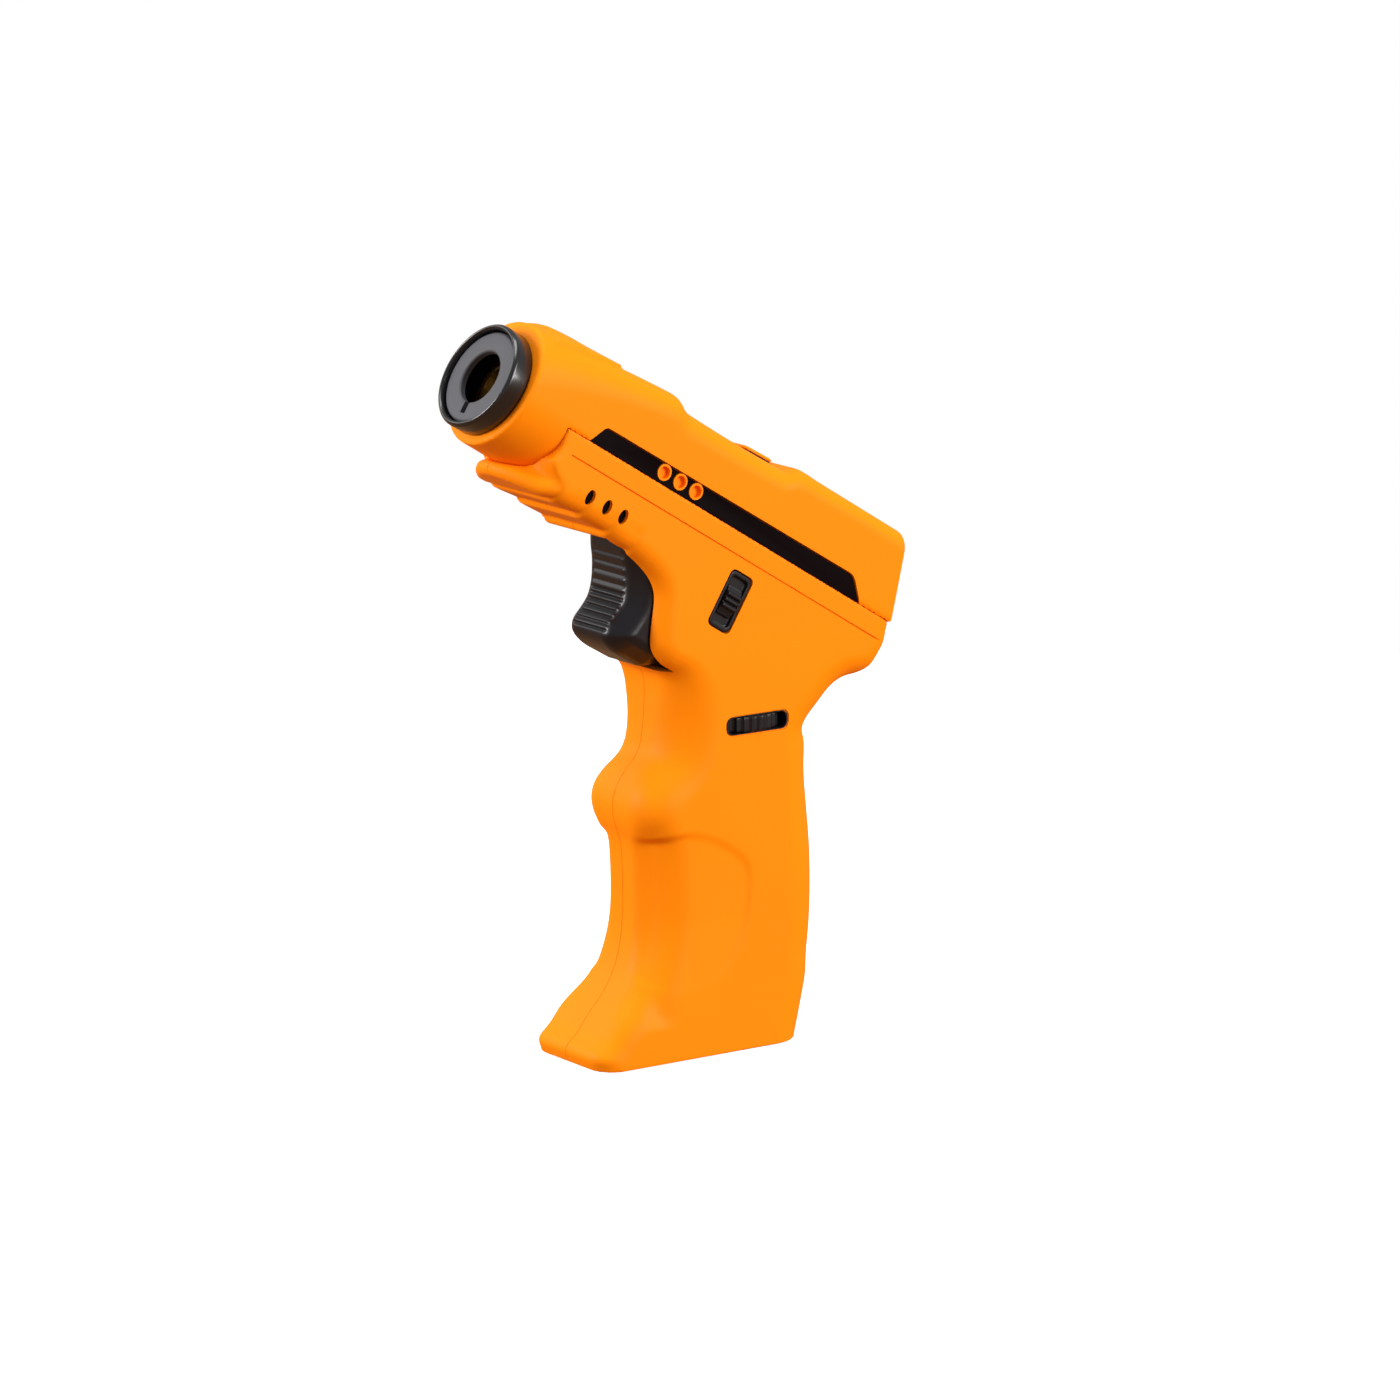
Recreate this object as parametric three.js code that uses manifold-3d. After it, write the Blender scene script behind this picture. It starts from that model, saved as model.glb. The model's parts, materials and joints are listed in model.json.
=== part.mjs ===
// A pistol-shaped infrared thermometer with a stepped barrel cover, a two-shell body and grip,
// a pivoting trigger, a mode slider, a thumbwheel, a top button and a battery hatch in the base.
//
// Frame: +X is the way the sensor looks (level), +Y the left side, +Z up. The origin is the centre
// of the flat base that the grip stands on. Millimetres and radians.
// The barrel is pitched up. In its own group x runs forward along the barrel from the muzzle face,
// so "back" distances are -x, and z is the height above the barrel axis.

import * as THREE from 'three';
import { mergeVertices } from 'three/addons/utils/BufferGeometryUtils.js';
import Module from 'manifold-3d';

const wasm = await Module();
wasm.setup();

// ---------------------------------------------------------------- driving dimensions

const GAP = 0.3; // clearance between pieces that rest on or pass through each other
const WALL = 2.2; // shell and cover wall
const BARREL_PITCH = THREE.MathUtils.degToRad(31.5);
const GRIP_HEIGHT = 76; // base to the narrowest part of the neck
const MUZZLE_X = 54.3; // muzzle face centre, ahead of the base centre
const MUZZLE_RISE = 89.7; // muzzle face centre, above the neck
const BODY_HALF_WIDTH = 15.5; // body and grip shells
const BODY_EDGE = 4.6; // rounding of the body's long edges
const COVER_STEP = 0.3; // how far each side of the cover stands in from the body's
const COVER_HALF_WIDTH = BODY_HALF_WIDTH - COVER_STEP;
const COVER_LENGTH = 127.2; // muzzle face to the cover's lower rear corner
const REAR_SLOPE = 0.33; // how far the rear face leans forward per millimetre of height
const SPLIT = -2.1; // height of the line between cover and body, off the barrel axis
const UNDERSIDE = -17.9; // height of the body's underside, off the barrel axis
const TUBE_RADIUS = 14.8; // round front of the cover
const TUBE_BORE = 12.4;
const TUBE_LENGTH = 18.6; // muzzle face to the end of the round front
const SPIGOT_RADIUS = 12.8; // where the cover's tube enters the body
const SPIGOT_END = 24;
const BEZEL_RADIUS = 13;
const BEZEL_DEPTH = 5.4;
const DISC_RADIUS = 11.3;
const APERTURE_RADIUS = 6.4;
const SENSOR_TUBE_RADIUS = 6.2;
const LASER_RADIUS = 2.3;
const LASER_DROP = 9.1; // laser axis below the barrel axis
const TRIGGER_HALF_WIDTH = 11.5;
const TRIGGER_PIVOT_X = 11;
const TRIGGER_PIVOT_RISE = 49; // pivot above the neck
const TRIGGER_PIN_RADIUS = 1.5;
const SLIDER_BACK = 81.2; // mode slider centre, behind the muzzle face
const SLIDER_HEIGHT = -17.4; // mode slider centre, off the barrel axis
const SLIDER_WIDTH = 7;
const SLIDER_LENGTH = 14.2;
const SLIDER_STROKE = 4; // total travel of the knob
const WHEEL_RADIUS = 11;
const WHEEL_THICKNESS = 3.8;
const WHEEL_X = -13.9;
const WHEEL_RISE = 2.5; // wheel middle above the neck
const WHEEL_PROUD = 0.5; // how far the rim stands out of the left shell
const CELL_RADIUS = 5.15;
const CELL_LENGTH = 43.6; // without the positive nub
const CELL_CLEARANCE = 1.3; // between the two cells
const CELL_SPACING = 2 * CELL_RADIUS + CELL_CLEARANCE;
const BAY_INSET = 4.25; // heel to the battery bay
const BAY_WALL = 1.1;
const CELL_PLAY = 0.3; // between a cell and its pocket
const CELL_BOTTOM = 3.4;
const BUTTON_BACK = 79; // top button centre, behind the muzzle face
const BUTTON_LENGTH = 9;
const BUTTON_WIDTH = 7.4;
const BUTTON_STROKE = 1;
const DISPLAY_WIDTH = 23;
const DISPLAY_HEIGHT = 13.6;
const SCREW_RADIUS = 1.3;
const SCREW_HEAD_RADIUS = 2.4;
const BOSS_RADIUS = 3.1;

// ---------------------------------------------------------------- materials

const finish = (color, roughness, metalness = 0) =>
  new THREE.MeshStandardMaterial({ color, roughness, metalness });

const orangePlastic = finish(0xff8f14, 0.5);
const blackPlastic = finish(0x262428, 0.45);
const glossBlack = finish(0x17171a, 0.25);
const greyPlastic = finish(0x5c5c62, 0.6);
const brass = finish(0xa88a48, 0.35, 1);
const steel = finish(0xb4b6ba, 0.35, 1);
const lensGlass = finish(0x30343a, 0.15);
const clearWindow = finish(0x3c444a, 0.1);
const displayGlass = finish(0x7d8a78, 0.3);
const circuitBoard = finish(0x1d5a34, 0.5);
const cellSleeve = finish(0x2f4f9a, 0.35);
const redLead = finish(0xb52a22, 0.5);
const blackLead = finish(0x1a1a1c, 0.5);

// ---------------------------------------------------------------- solids

// A solid from a closed geometry.
function solidOf(geometry) {
  const bare = geometry.clone();
  bare.deleteAttribute('normal');
  bare.deleteAttribute('uv');
  const welded = mergeVertices(bare, 1e-4);
  return new wasm.Manifold(new wasm.Mesh({
    numProp: 3,
    vertProperties: new Float32Array(welded.attributes.position.array),
    triVerts: new Uint32Array(welded.index.array),
  }));
}

function geometryOf(solid) {
  const mesh = solid.getMesh();
  const geometry = new THREE.BufferGeometry();
  geometry.setAttribute('position', new THREE.BufferAttribute(mesh.vertProperties, 3));
  geometry.setIndex(new THREE.BufferAttribute(mesh.triVerts, 1));
  geometry.computeVertexNormals();
  return geometry;
}

const asSolid = (shape) => (shape.isBufferGeometry ? solidOf(shape) : shape);

function join(...shapes) {
  return shapes.map(asSolid).reduce((sum, shape) => sum.add(shape));
}

function cut(base, ...tools) {
  return tools.map(asSolid).reduce((rest, tool) => rest.subtract(tool), asSolid(base));
}

function piece(parent, name, shape, material) {
  const geometry = shape.isBufferGeometry ? shape : geometryOf(shape);
  const mesh = new THREE.Mesh(geometry, material);
  mesh.name = name;
  parent.add(mesh);
  return mesh;
}

// A box between two corners.
function box(x0, x1, y0, y1, z0, z1) {
  const geometry = new THREE.BoxGeometry(x1 - x0, y1 - y0, z1 - z0);
  return geometry.translate((x0 + x1) / 2, (y0 + y1) / 2, (z0 + z1) / 2);
}

// Round rods along each axis, between two ends.
function rodX(radius, x0, x1, y = 0, z = 0, sides = 28) {
  const geometry = new THREE.CylinderGeometry(radius, radius, x1 - x0, sides).rotateZ(Math.PI / 2);
  return geometry.translate((x0 + x1) / 2, y, z);
}

function rodY(radius, y0, y1, x = 0, z = 0, sides = 20) {
  const geometry = new THREE.CylinderGeometry(radius, radius, y1 - y0, sides);
  return geometry.translate(x, (y0 + y1) / 2, z);
}

function rodZ(radius, z0, z1, x = 0, y = 0, sides = 24) {
  const geometry = new THREE.CylinderGeometry(radius, radius, z1 - z0, sides).rotateX(Math.PI / 2);
  return geometry.translate(x, y, (z0 + z1) / 2);
}

// A turned piece about the barrel axis. Its profile is a list of [radius, x] that closes on itself.
function turned(profile, sides = 32) {
  const points = [...profile, profile[0]].map(([radius, x]) => new THREE.Vector2(radius, x));
  if (THREE.ShapeUtils.area(points) < 0) {
    points.reverse();
  }
  return new THREE.LatheGeometry(points, sides).rotateZ(-Math.PI / 2);
}

// An outline in the x-z plane, extruded across y from -halfWidth to halfWidth, with its long
// edges rounded. A positive inset moves the whole outline inwards first.
function slab(outline, halfWidth, edge = 0, inset = 0) {
  const geometry = new THREE.ExtrudeGeometry(new THREE.Shape(outline), {
    depth: 2 * (halfWidth - edge),
    bevelEnabled: edge > 0 || inset !== 0,
    bevelThickness: edge,
    bevelSize: edge,
    bevelOffset: -edge - inset,
    bevelSegments: 2,
    curveSegments: 8,
  });
  return geometry.translate(0, 0, edge - halfWidth).rotateX(Math.PI / 2);
}

// An outline in the x-z plane between two y values.
function plate(points, y0, y1) {
  const shape = new THREE.Shape(points.map(([x, z]) => new THREE.Vector2(x, z)));
  const geometry = new THREE.ExtrudeGeometry(shape, { depth: y1 - y0, bevelEnabled: false });
  return geometry.rotateX(Math.PI / 2).translate(0, y1, 0);
}

// A smooth closed skin through equal-length rings of points, with flat ends.
function loft(rings) {
  const count = rings[0].length;
  const positions = rings.flat().flatMap((point) => point.toArray());
  const index = [];
  for (let r = 0; r + 1 < rings.length; r++) {
    for (let i = 0; i < count; i++) {
      const a = r * count + i;
      const b = r * count + ((i + 1) % count);
      index.push(a, a + count, b, b, a + count, b + count);
    }
  }
  const last = (rings.length - 1) * count;
  for (let i = 1; i + 1 < count; i++) {
    index.push(0, i, i + 1, last, last + i + 1, last + i);
  }
  const geometry = new THREE.BufferGeometry();
  geometry.setAttribute('position', new THREE.BufferAttribute(new Float32Array(positions), 3));
  geometry.setIndex(index);
  return geometry;
}

// A spring of round wire along x.
function coilSpring(radius, wire, x0, x1, turns) {
  class Coil extends THREE.Curve {
    getPoint(t, target = new THREE.Vector3()) {
      const angle = 2 * Math.PI * turns * t;
      return target.set(x0 + (x1 - x0) * t, radius * Math.cos(angle), radius * Math.sin(angle));
    }
  }
  const section = new THREE.Shape().absarc(0, 0, wire, 0, 2 * Math.PI);
  return new THREE.ExtrudeGeometry(section, {
    extrudePath: new Coil(),
    steps: Math.round(turns * 9),
    curveSegments: 3,
    bevelEnabled: false,
  });
}

// A soft lead of round section through a few points.
function lead(radius, points) {
  const path = new THREE.CatmullRomCurve3(points.map((point) => new THREE.Vector3(...point)));
  const section = new THREE.Shape().absarc(0, 0, radius, 0, 2 * Math.PI);
  return new THREE.ExtrudeGeometry(section, {
    extrudePath: path,
    steps: 18,
    curveSegments: 4,
    bevelEnabled: false,
  });
}

// ---------------------------------------------------------------- frames

const TOE_X = 31.5; // front of the base
const HEEL_X = -28.8; // back of the base
const device = new THREE.Group();
device.position.x = -(TOE_X + HEEL_X) / 2;
const object = new THREE.Group();
object.add(device);
const MUZZLE_Z = GRIP_HEIGHT + MUZZLE_RISE;

const barrel = new THREE.Group();
barrel.position.set(MUZZLE_X, 0, MUZZLE_Z);
barrel.rotation.y = -BARREL_PITCH;
device.add(barrel);
barrel.updateMatrix();

// A geometry drawn in the barrel's frame, moved to the object's frame.
const alongBarrel = (geometry) => geometry.applyMatrix4(barrel.matrix);

// A point a distance back along the barrel and at a height off its axis, in the object's frame.
function barrelPoint(back, height) {
  const point = new THREE.Vector3(-back, 0, height).applyMatrix4(barrel.matrix);
  return new THREE.Vector2(point.x, point.z);
}

const aboveNeck = (x, rise) => new THREE.Vector2(x, GRIP_HEIGHT + rise);
const alongGrip = (x, share) => new THREE.Vector2(x, GRIP_HEIGHT * share);
const smooth = (points, count) => new THREE.SplineCurve(points).getPoints(count);

const triggerPivot = aboveNeck(TRIGGER_PIVOT_X, TRIGGER_PIVOT_RISE);
const wheelZ = GRIP_HEIGHT + WHEEL_RISE;
const pocketRadius = CELL_RADIUS + CELL_PLAY;
const bayHalfLength = CELL_SPACING / 2 + pocketRadius + BAY_WALL;
const bayHalfWidth = pocketRadius + BAY_WALL;
const CELLS_X = HEEL_X + BAY_INSET + bayHalfLength; // middle of the pair
const bossByBay = CELLS_X + bayHalfLength + BOSS_RADIUS + 3.75;
const bodyInside = BODY_HALF_WIDTH - WALL;

// ---------------------------------------------------------------- body shells

const BELOW_BASE = -12; // the outline runs on below the base and is cut off flat
const ABOVE_SPLIT = 9;

const gripFront = smooth([
  new THREE.Vector2(TOE_X, 2),
  alongGrip(28.8, 0.1), alongGrip(21.3, 0.185), alongGrip(15.2, 0.275), alongGrip(11.9, 0.4),
  alongGrip(11, 0.52), alongGrip(11.8, 0.65), alongGrip(14.9, 0.755), alongGrip(15.2, 0.815),
  alongGrip(11.9, 0.885), alongGrip(8.7, 0.97),
  aboveNeck(8.3, 5), aboveNeck(10.3, 12), aboveNeck(14.2, 19),
  aboveNeck(15.1, 27), aboveNeck(14.8, 35), aboveNeck(16.7, 42.5),
  barrelPoint(50, UNDERSIDE - 0.3),
], 36);

const tangAndBack = smooth([
  barrelPoint(COVER_LENGTH + 0.4, SPLIT),
  barrelPoint(COVER_LENGTH + 1.7, SPLIT - 6.6),
  barrelPoint(COVER_LENGTH - 1.8, SPLIT - 15),
  aboveNeck(-36, 8.4), aboveNeck(-31.2, 2.4),
  alongGrip(-31.3, 0.9), alongGrip(-32.7, 0.7), alongGrip(-33.7, 0.5),
  alongGrip(-33.2, 0.3), alongGrip(-31.4, 0.13), new THREE.Vector2(HEEL_X, 0),
], 24);

const bodyOutline = [
  new THREE.Vector2(TOE_X, BELOW_BASE),
  ...gripFront,
  barrelPoint(-6, UNDERSIDE),
  barrelPoint(-6, ABOVE_SPLIT),
  barrelPoint(COVER_LENGTH + 0.4, ABOVE_SPLIT),
  ...tangAndBack,
  new THREE.Vector2(HEEL_X, BELOW_BASE),
];

// Everything ahead of the lip under the barrel, where the body's front edge wraps the tube.
const LIP_BACK = 14.5;
const FRONT_BACK = 19;
const aheadOfLip = [
  [30, SPLIT + 12], [-FRONT_BACK, SPLIT + 12], [-FRONT_BACK, SPLIT], [-FRONT_BACK - 0.7, -7],
  [-FRONT_BACK + 0.3, -10.5], [-FRONT_BACK + 3.2, -14], [-LIP_BACK, -16.2],
  [-LIP_BACK, UNDERSIDE + 0.6], [-LIP_BACK - 0.8, UNDERSIDE - 4], [30, UNDERSIDE - 4],
];

// The slot that the trigger swings in.
const triggerSlot = [
  [-2, GRIP_HEIGHT + 16.9], [40, GRIP_HEIGHT + 16.9], [40, GRIP_HEIGHT + 45],
  [21.5, GRIP_HEIGHT + 51.5], [-2, GRIP_HEIGHT + 51.5],
];

const SCREWS = [
  barrelPoint(29, -9.5), barrelPoint(109, -15.2), aboveNeck(-19, 14.5),
  alongGrip(5.5, 0.85), alongGrip(bossByBay, 0.25),
];

const VENTS = [32.7, 38.1, 43.3];
const VENT_HEIGHT = -13.5;
const RIDGE_PITCH = 8.6;
const RIDGE_COUNT = 4;
const RIDGE_RADIUS = 2.4;
const RIDGE_DEPTH = 0.9;
const GROOVE_HEIGHT = -7.2;
const GROOVE_WIDTH = 0.5;

function vent(back) {
  const geometry = new THREE.CylinderGeometry(1, 1, 4 * BODY_HALF_WIDTH, 14);
  geometry.scale(1.2, 1, 1.7).translate(-back, 0, VENT_HEIGHT);
  return alongBarrel(geometry);
}

function bodyCutters() {
  const cutters = [
    slab(bodyOutline, bodyInside, BODY_EDGE - WALL, WALL),
    box(-200, 200, -60, 60, -60, 0),
    alongBarrel(box(-COVER_LENGTH - 40, 60, -60, 60, SPLIT - GAP / 2, 60)),
    alongBarrel(plate(aheadOfLip, -60, 60)),
    alongBarrel(rodX(TUBE_RADIUS + GAP, -TUBE_LENGTH - GAP, 20, 0, 0, 36)),
    alongBarrel(rodX(SPIGOT_RADIUS + GAP, -SPIGOT_END - GAP, 20, 0, 0, 36)),
    plate(triggerSlot, -TRIGGER_HALF_WIDTH - 0.5, TRIGGER_HALF_WIDTH + 0.5),
    ...VENTS.map(vent),
  ];
  for (let i = 0; i < RIDGE_COUNT; i++) {
    const back = 21.5 + i * RIDGE_PITCH;
    const height = UNDERSIDE - RIDGE_RADIUS + RIDGE_DEPTH;
    cutters.push(alongBarrel(rodY(RIDGE_RADIUS, -60, 60, -back, height)));
  }
  const inner = BODY_HALF_WIDTH - GROOVE_WIDTH;
  for (const side of [-1, 1]) {
    const near = Math.min(side * inner, side * 60);
    const far = Math.max(side * inner, side * 60);
    cutters.push(alongBarrel(box(-COVER_LENGTH + 1, -22.7, near, far,
      GROOVE_HEIGHT - GROOVE_WIDTH / 2, GROOVE_HEIGHT + GROOVE_WIDTH / 2)));
  }
  return cutters;
}

const fullBody = cut(slab(bodyOutline, BODY_HALF_WIDTH, BODY_EDGE), ...bodyCutters());

// The side pockets that the trigger pin's ends sit in.
const pinPocket = rodY(TRIGGER_PIN_RADIUS + GAP, -bodyInside - 1.3, bodyInside + 1.3,
  triggerPivot.x, triggerPivot.y);

function halfBody(side) {
  const near = side * GAP / 2;
  const half = box(-200, 200, Math.min(near, side * 60), Math.max(near, side * 60), -60, 300);
  const bossEnd = side * (bodyInside + 0.5);
  const bosses = SCREWS.map((at) =>
    rodY(BOSS_RADIUS, Math.min(near, bossEnd), Math.max(near, bossEnd), at.x, at.y, 12));
  const body = join(fullBody.intersect(asSolid(half)), ...bosses);
  return cut(body, pinPocket);
}

function screwHoles(side) {
  const deep = side > 0 ? bodyInside - 1 : 0;
  return SCREWS.flatMap((at) => [
    rodY(SCREW_RADIUS + 0.2, -BODY_HALF_WIDTH - 1, deep, at.x, at.y, 12),
    rodY(SCREW_HEAD_RADIUS + GAP, -60, -BODY_HALF_WIDTH + 3, at.x, at.y, 12),
  ]);
}

const sliderOpening = alongBarrel(box(
  -SLIDER_BACK - SLIDER_WIDTH / 2, -SLIDER_BACK + SLIDER_WIDTH / 2, 0, 60,
  SLIDER_HEIGHT - SLIDER_LENGTH / 2, SLIDER_HEIGHT + SLIDER_LENGTH / 2));

const WHEEL_SLOT_LENGTH = 17.4;
const WHEEL_SLOT_HEIGHT = WHEEL_THICKNESS + 2 * GAP;
const wheelSlot = join(
  box(WHEEL_X - (WHEEL_SLOT_LENGTH - WHEEL_SLOT_HEIGHT) / 2,
    WHEEL_X + (WHEEL_SLOT_LENGTH - WHEEL_SLOT_HEIGHT) / 2, 0, 60,
    wheelZ - WHEEL_SLOT_HEIGHT / 2, wheelZ + WHEEL_SLOT_HEIGHT / 2),
  ...[-1, 1].map((end) => rodY(WHEEL_SLOT_HEIGHT / 2, 0, 60,
    WHEEL_X + end * (WHEEL_SLOT_LENGTH - WHEEL_SLOT_HEIGHT) / 2, wheelZ)));

const leftShell = cut(halfBody(1), ...screwHoles(1), sliderOpening, wheelSlot);
const rightShell = cut(halfBody(-1), ...screwHoles(-1));
piece(device, 'left_shell', leftShell, orangePlastic);
piece(device, 'right_shell', rightShell, orangePlastic);

SCREWS.forEach((at, i) => {
  const head = rodY(SCREW_HEAD_RADIUS, -BODY_HALF_WIDTH + 1, -BODY_HALF_WIDTH + 2.7, at.x, at.y, 12);
  const shank = rodY(SCREW_RADIUS, -BODY_HALF_WIDTH + 2, bodyInside - 2, at.x, at.y, 12);
  const recess = rodY(0.9, -BODY_HALF_WIDTH - 1, -BODY_HALF_WIDTH + 1.9, at.x, at.y, 6);
  piece(device, `shell_screw_${i + 1}`, cut(join(head, shank), recess), steel);
});

// ---------------------------------------------------------------- barrel cover

// Height of the cover's top off the barrel axis and its corner rounding, at distances back.
const COVER_STATIONS = [
  { back: 6.2, top: 15.4, corner: 14.4 }, { back: 12, top: 17.1, corner: 13 },
  { back: 20, top: 17.8, corner: 10.5 }, { back: 30, top: 18.2, corner: 8 },
  { back: 47.2, top: 18.6, corner: 6.5 }, { back: 51.4, top: 16.5, corner: 6 },
  { back: 58, top: 16.1, corner: 6 }, { back: 69.5, top: 16.1, corner: 6 },
  { back: 75, top: 17.7, corner: 6 }, { back: 84, top: 18.2, corner: 6 },
  { back: 92, top: 18.5, corner: 6 }, { back: COVER_LENGTH + 4, top: 18.5, corner: 6 },
];
const CORNER_STEPS = 5;
const BELLY_STEPS = 12;

// One closed ring of the cover: upright sides, rounded shoulders and a round belly.
function coverRing({ back, top, corner }, inset) {
  const half = COVER_HALF_WIDTH - inset;
  const belly = SPIGOT_RADIUS - inset;
  const radius = Math.max(corner - inset, 1);
  const ring = [];
  for (const side of [1, -1]) {
    for (let i = 0; i <= CORNER_STEPS; i++) {
      const share = side > 0 ? i / CORNER_STEPS : 1 - i / CORNER_STEPS;
      const angle = share * Math.PI / 2;
      const y = side * (half - radius + radius * Math.cos(angle));
      ring.push(new THREE.Vector3(-back, y, top - inset - radius + radius * Math.sin(angle)));
    }
  }
  for (let i = 0; i <= BELLY_STEPS; i++) {
    const angle = Math.PI * (1 + i / BELLY_STEPS);
    ring.push(new THREE.Vector3(-back, half * Math.cos(angle), belly * Math.sin(angle)));
  }
  return ring;
}

const coverSkin = (inset) => loft(COVER_STATIONS.map((station) => coverRing(station, inset)));

// All that lies behind the sloping rear face, moved forward by an inset.
function behindRear(inset) {
  const x = (height) => -(COVER_LENGTH - REAR_SLOPE * (height - SPLIT)) + inset;
  return plate([[x(-40), -40], [x(40), 40], [-COVER_LENGTH - 60, 40], [-COVER_LENGTH - 60, -40]],
    -60, 60);
}

const STRIP_TOP = 3;
const STRIP_DEPTH = 1.1;
const STRIP_FRONT = 25.9;
const STRIP_REAR = 115.9;
const stripOutline = (clearance) => [
  [-STRIP_FRONT - clearance, SPLIT - 2], [-STRIP_FRONT - 3.4 - clearance, STRIP_TOP - clearance],
  [-STRIP_REAR + 5.4 + clearance, STRIP_TOP - clearance], [-STRIP_REAR + clearance, SPLIT - 2],
];
const CUPS = [48.7, 53.9, 59.1];
const CUP_HEIGHT = 0.65;
const CUP_RADIUS = 1.9;

const rearPanelHeight = 8.6;
const rearPanelBack = COVER_LENGTH - REAR_SLOPE * (rearPanelHeight - SPLIT);
const rearPanel = new THREE.Group();
rearPanel.position.set(-rearPanelBack, 0, rearPanelHeight);
rearPanel.rotation.y = Math.atan(REAR_SLOPE);
barrel.add(rearPanel);
rearPanel.updateMatrix();

function coverShell() {
  const under = SPLIT + GAP / 2;
  const outside = join(
    cut(coverSkin(0), behindRear(0), box(-COVER_LENGTH - 40, -TUBE_LENGTH, -60, 60, -60, under)),
    rodX(TUBE_RADIUS, -TUBE_LENGTH, -BEZEL_DEPTH - 0.1, 0, 0, 36),
    rodX(SPIGOT_RADIUS, -SPIGOT_END, -TUBE_LENGTH + 1, 0, 0, 36),
  );
  const hollow = join(
    cut(coverSkin(WALL), behindRear(WALL), box(-TUBE_LENGTH + 1, 20, -60, 60, -60, 60),
      box(-SPIGOT_END, 20, -60, 60, -60, under)),
    rodX(TUBE_BORE, -TUBE_LENGTH + 0.4, 20, 0, 0, 36),
    rodX(SPIGOT_RADIUS - WALL, -SPIGOT_END - 1, 0, 0, 0, 40),
  );
  const stripInner = COVER_HALF_WIDTH - STRIP_DEPTH - GAP;
  const cups = CUPS.flatMap((back) => [-1, 1].map((side) => {
    const ends = [side * (COVER_HALF_WIDTH - WALL + 0.5), side * (COVER_HALF_WIDTH - 0.25)];
    return rodY(CUP_RADIUS, Math.min(...ends), Math.max(...ends), -back, CUP_HEIGHT, 16);
  }));
  const cupWells = CUPS.flatMap((back) => [-1, 1].map((side) => {
    const ends = [side * (COVER_HALF_WIDTH - 1), side * 60];
    return rodY(CUP_RADIUS - 0.7, Math.min(...ends), Math.max(...ends), -back, CUP_HEIGHT, 16);
  }));
  const displayHole = box(-20, 20, -DISPLAY_WIDTH / 2 - GAP, DISPLAY_WIDTH / 2 + GAP,
    -DISPLAY_HEIGHT / 2 - GAP, DISPLAY_HEIGHT / 2 + GAP).applyMatrix4(rearPanel.matrix);
  const buttonHole = box(-BUTTON_BACK - BUTTON_LENGTH / 2 - GAP,
    -BUTTON_BACK + BUTTON_LENGTH / 2 + GAP,
    -BUTTON_WIDTH / 2 - GAP, BUTTON_WIDTH / 2 + GAP, 10, 60);
  const shell = cut(outside, hollow,
    plate(stripOutline(0), stripInner, 60), plate(stripOutline(0), -60, -stripInner),
    displayHole, buttonHole);
  return cut(join(shell, ...cups), ...cupWells);
}

piece(barrel, 'top_cover', coverShell(), orangePlastic);

function sideStrip(side) {
  const ends = [side * (COVER_HALF_WIDTH - STRIP_DEPTH), side * (COVER_HALF_WIDTH - 0.3)];
  const holes = CUPS.map((back) => rodY(CUP_RADIUS + GAP, -60, 60, -back, CUP_HEIGHT, 16));
  const below = box(-COVER_LENGTH, 0, -60, 60, -60, SPLIT + GAP / 2);
  return cut(plate(stripOutline(GAP), Math.min(...ends), Math.max(...ends)), ...holes, below);
}

piece(barrel, 'left_strip', sideStrip(1), blackPlastic);
piece(barrel, 'right_strip', sideStrip(-1), blackPlastic);

// ---------------------------------------------------------------- muzzle and sensor

const SPIGOT = TUBE_BORE - GAP;
piece(barrel, 'bezel_ring', turned([
  [DISC_RADIUS + GAP, -0.4], [DISC_RADIUS + GAP + 0.4, 0], [BEZEL_RADIUS - 0.5, 0],
  [BEZEL_RADIUS, -0.5], [BEZEL_RADIUS, -BEZEL_DEPTH + 0.3], [SPIGOT, -BEZEL_DEPTH + 0.3],
  [SPIGOT, -9], [DISC_RADIUS - 1.5, -9], [DISC_RADIUS - 1.5, -3], [DISC_RADIUS + GAP, -3],
], 36), glossBlack);

const slitReach = APERTURE_RADIUS + 2.8;
piece(barrel, 'aperture_disc', cut(
  turned([[APERTURE_RADIUS, -2.7], [APERTURE_RADIUS, -1.1], [DISC_RADIUS, -1.1],
    [DISC_RADIUS, -2.7]], 36),
  box(-5, 5, -0.75, 0.75, -slitReach, 0),
), greyPlastic);

const TUBE_FRONT = 7;
const SENSOR_REAR = 24;
piece(barrel, 'sensor_tube', turned([
  [SENSOR_TUBE_RADIUS - 0.8, -SENSOR_REAR], [SENSOR_TUBE_RADIUS - 0.8, -TUBE_FRONT],
  [SENSOR_TUBE_RADIUS, -TUBE_FRONT], [SENSOR_TUBE_RADIUS, -SENSOR_REAR],
], 32), brass);
piece(barrel, 'sensor_lens', turned([
  [0, -14.6], [3, -15], [SENSOR_TUBE_RADIUS - 0.8 - GAP, -15.8],
  [SENSOR_TUBE_RADIUS - 0.8 - GAP, -16.8], [3, -17.4], [0, -17.6],
], 24), lensGlass);
piece(barrel, 'sensor_holder', cut(
  rodX(TUBE_BORE - GAP, -17.5, -11, 0, 0, 40),
  rodX(SENSOR_TUBE_RADIUS + GAP, -30, 0, 0, 0, 32),
  rodX(LASER_RADIUS + GAP, -30, 0, 0, -LASER_DROP, 20),
), blackPlastic);
piece(barrel, 'laser_module', turned([
  [0, -17.8], [LASER_RADIUS, -17.8], [LASER_RADIUS, -9.5], [1, -9.5], [1, -11], [0, -11],
], 20).translate(0, 0, -LASER_DROP), brass);
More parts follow.
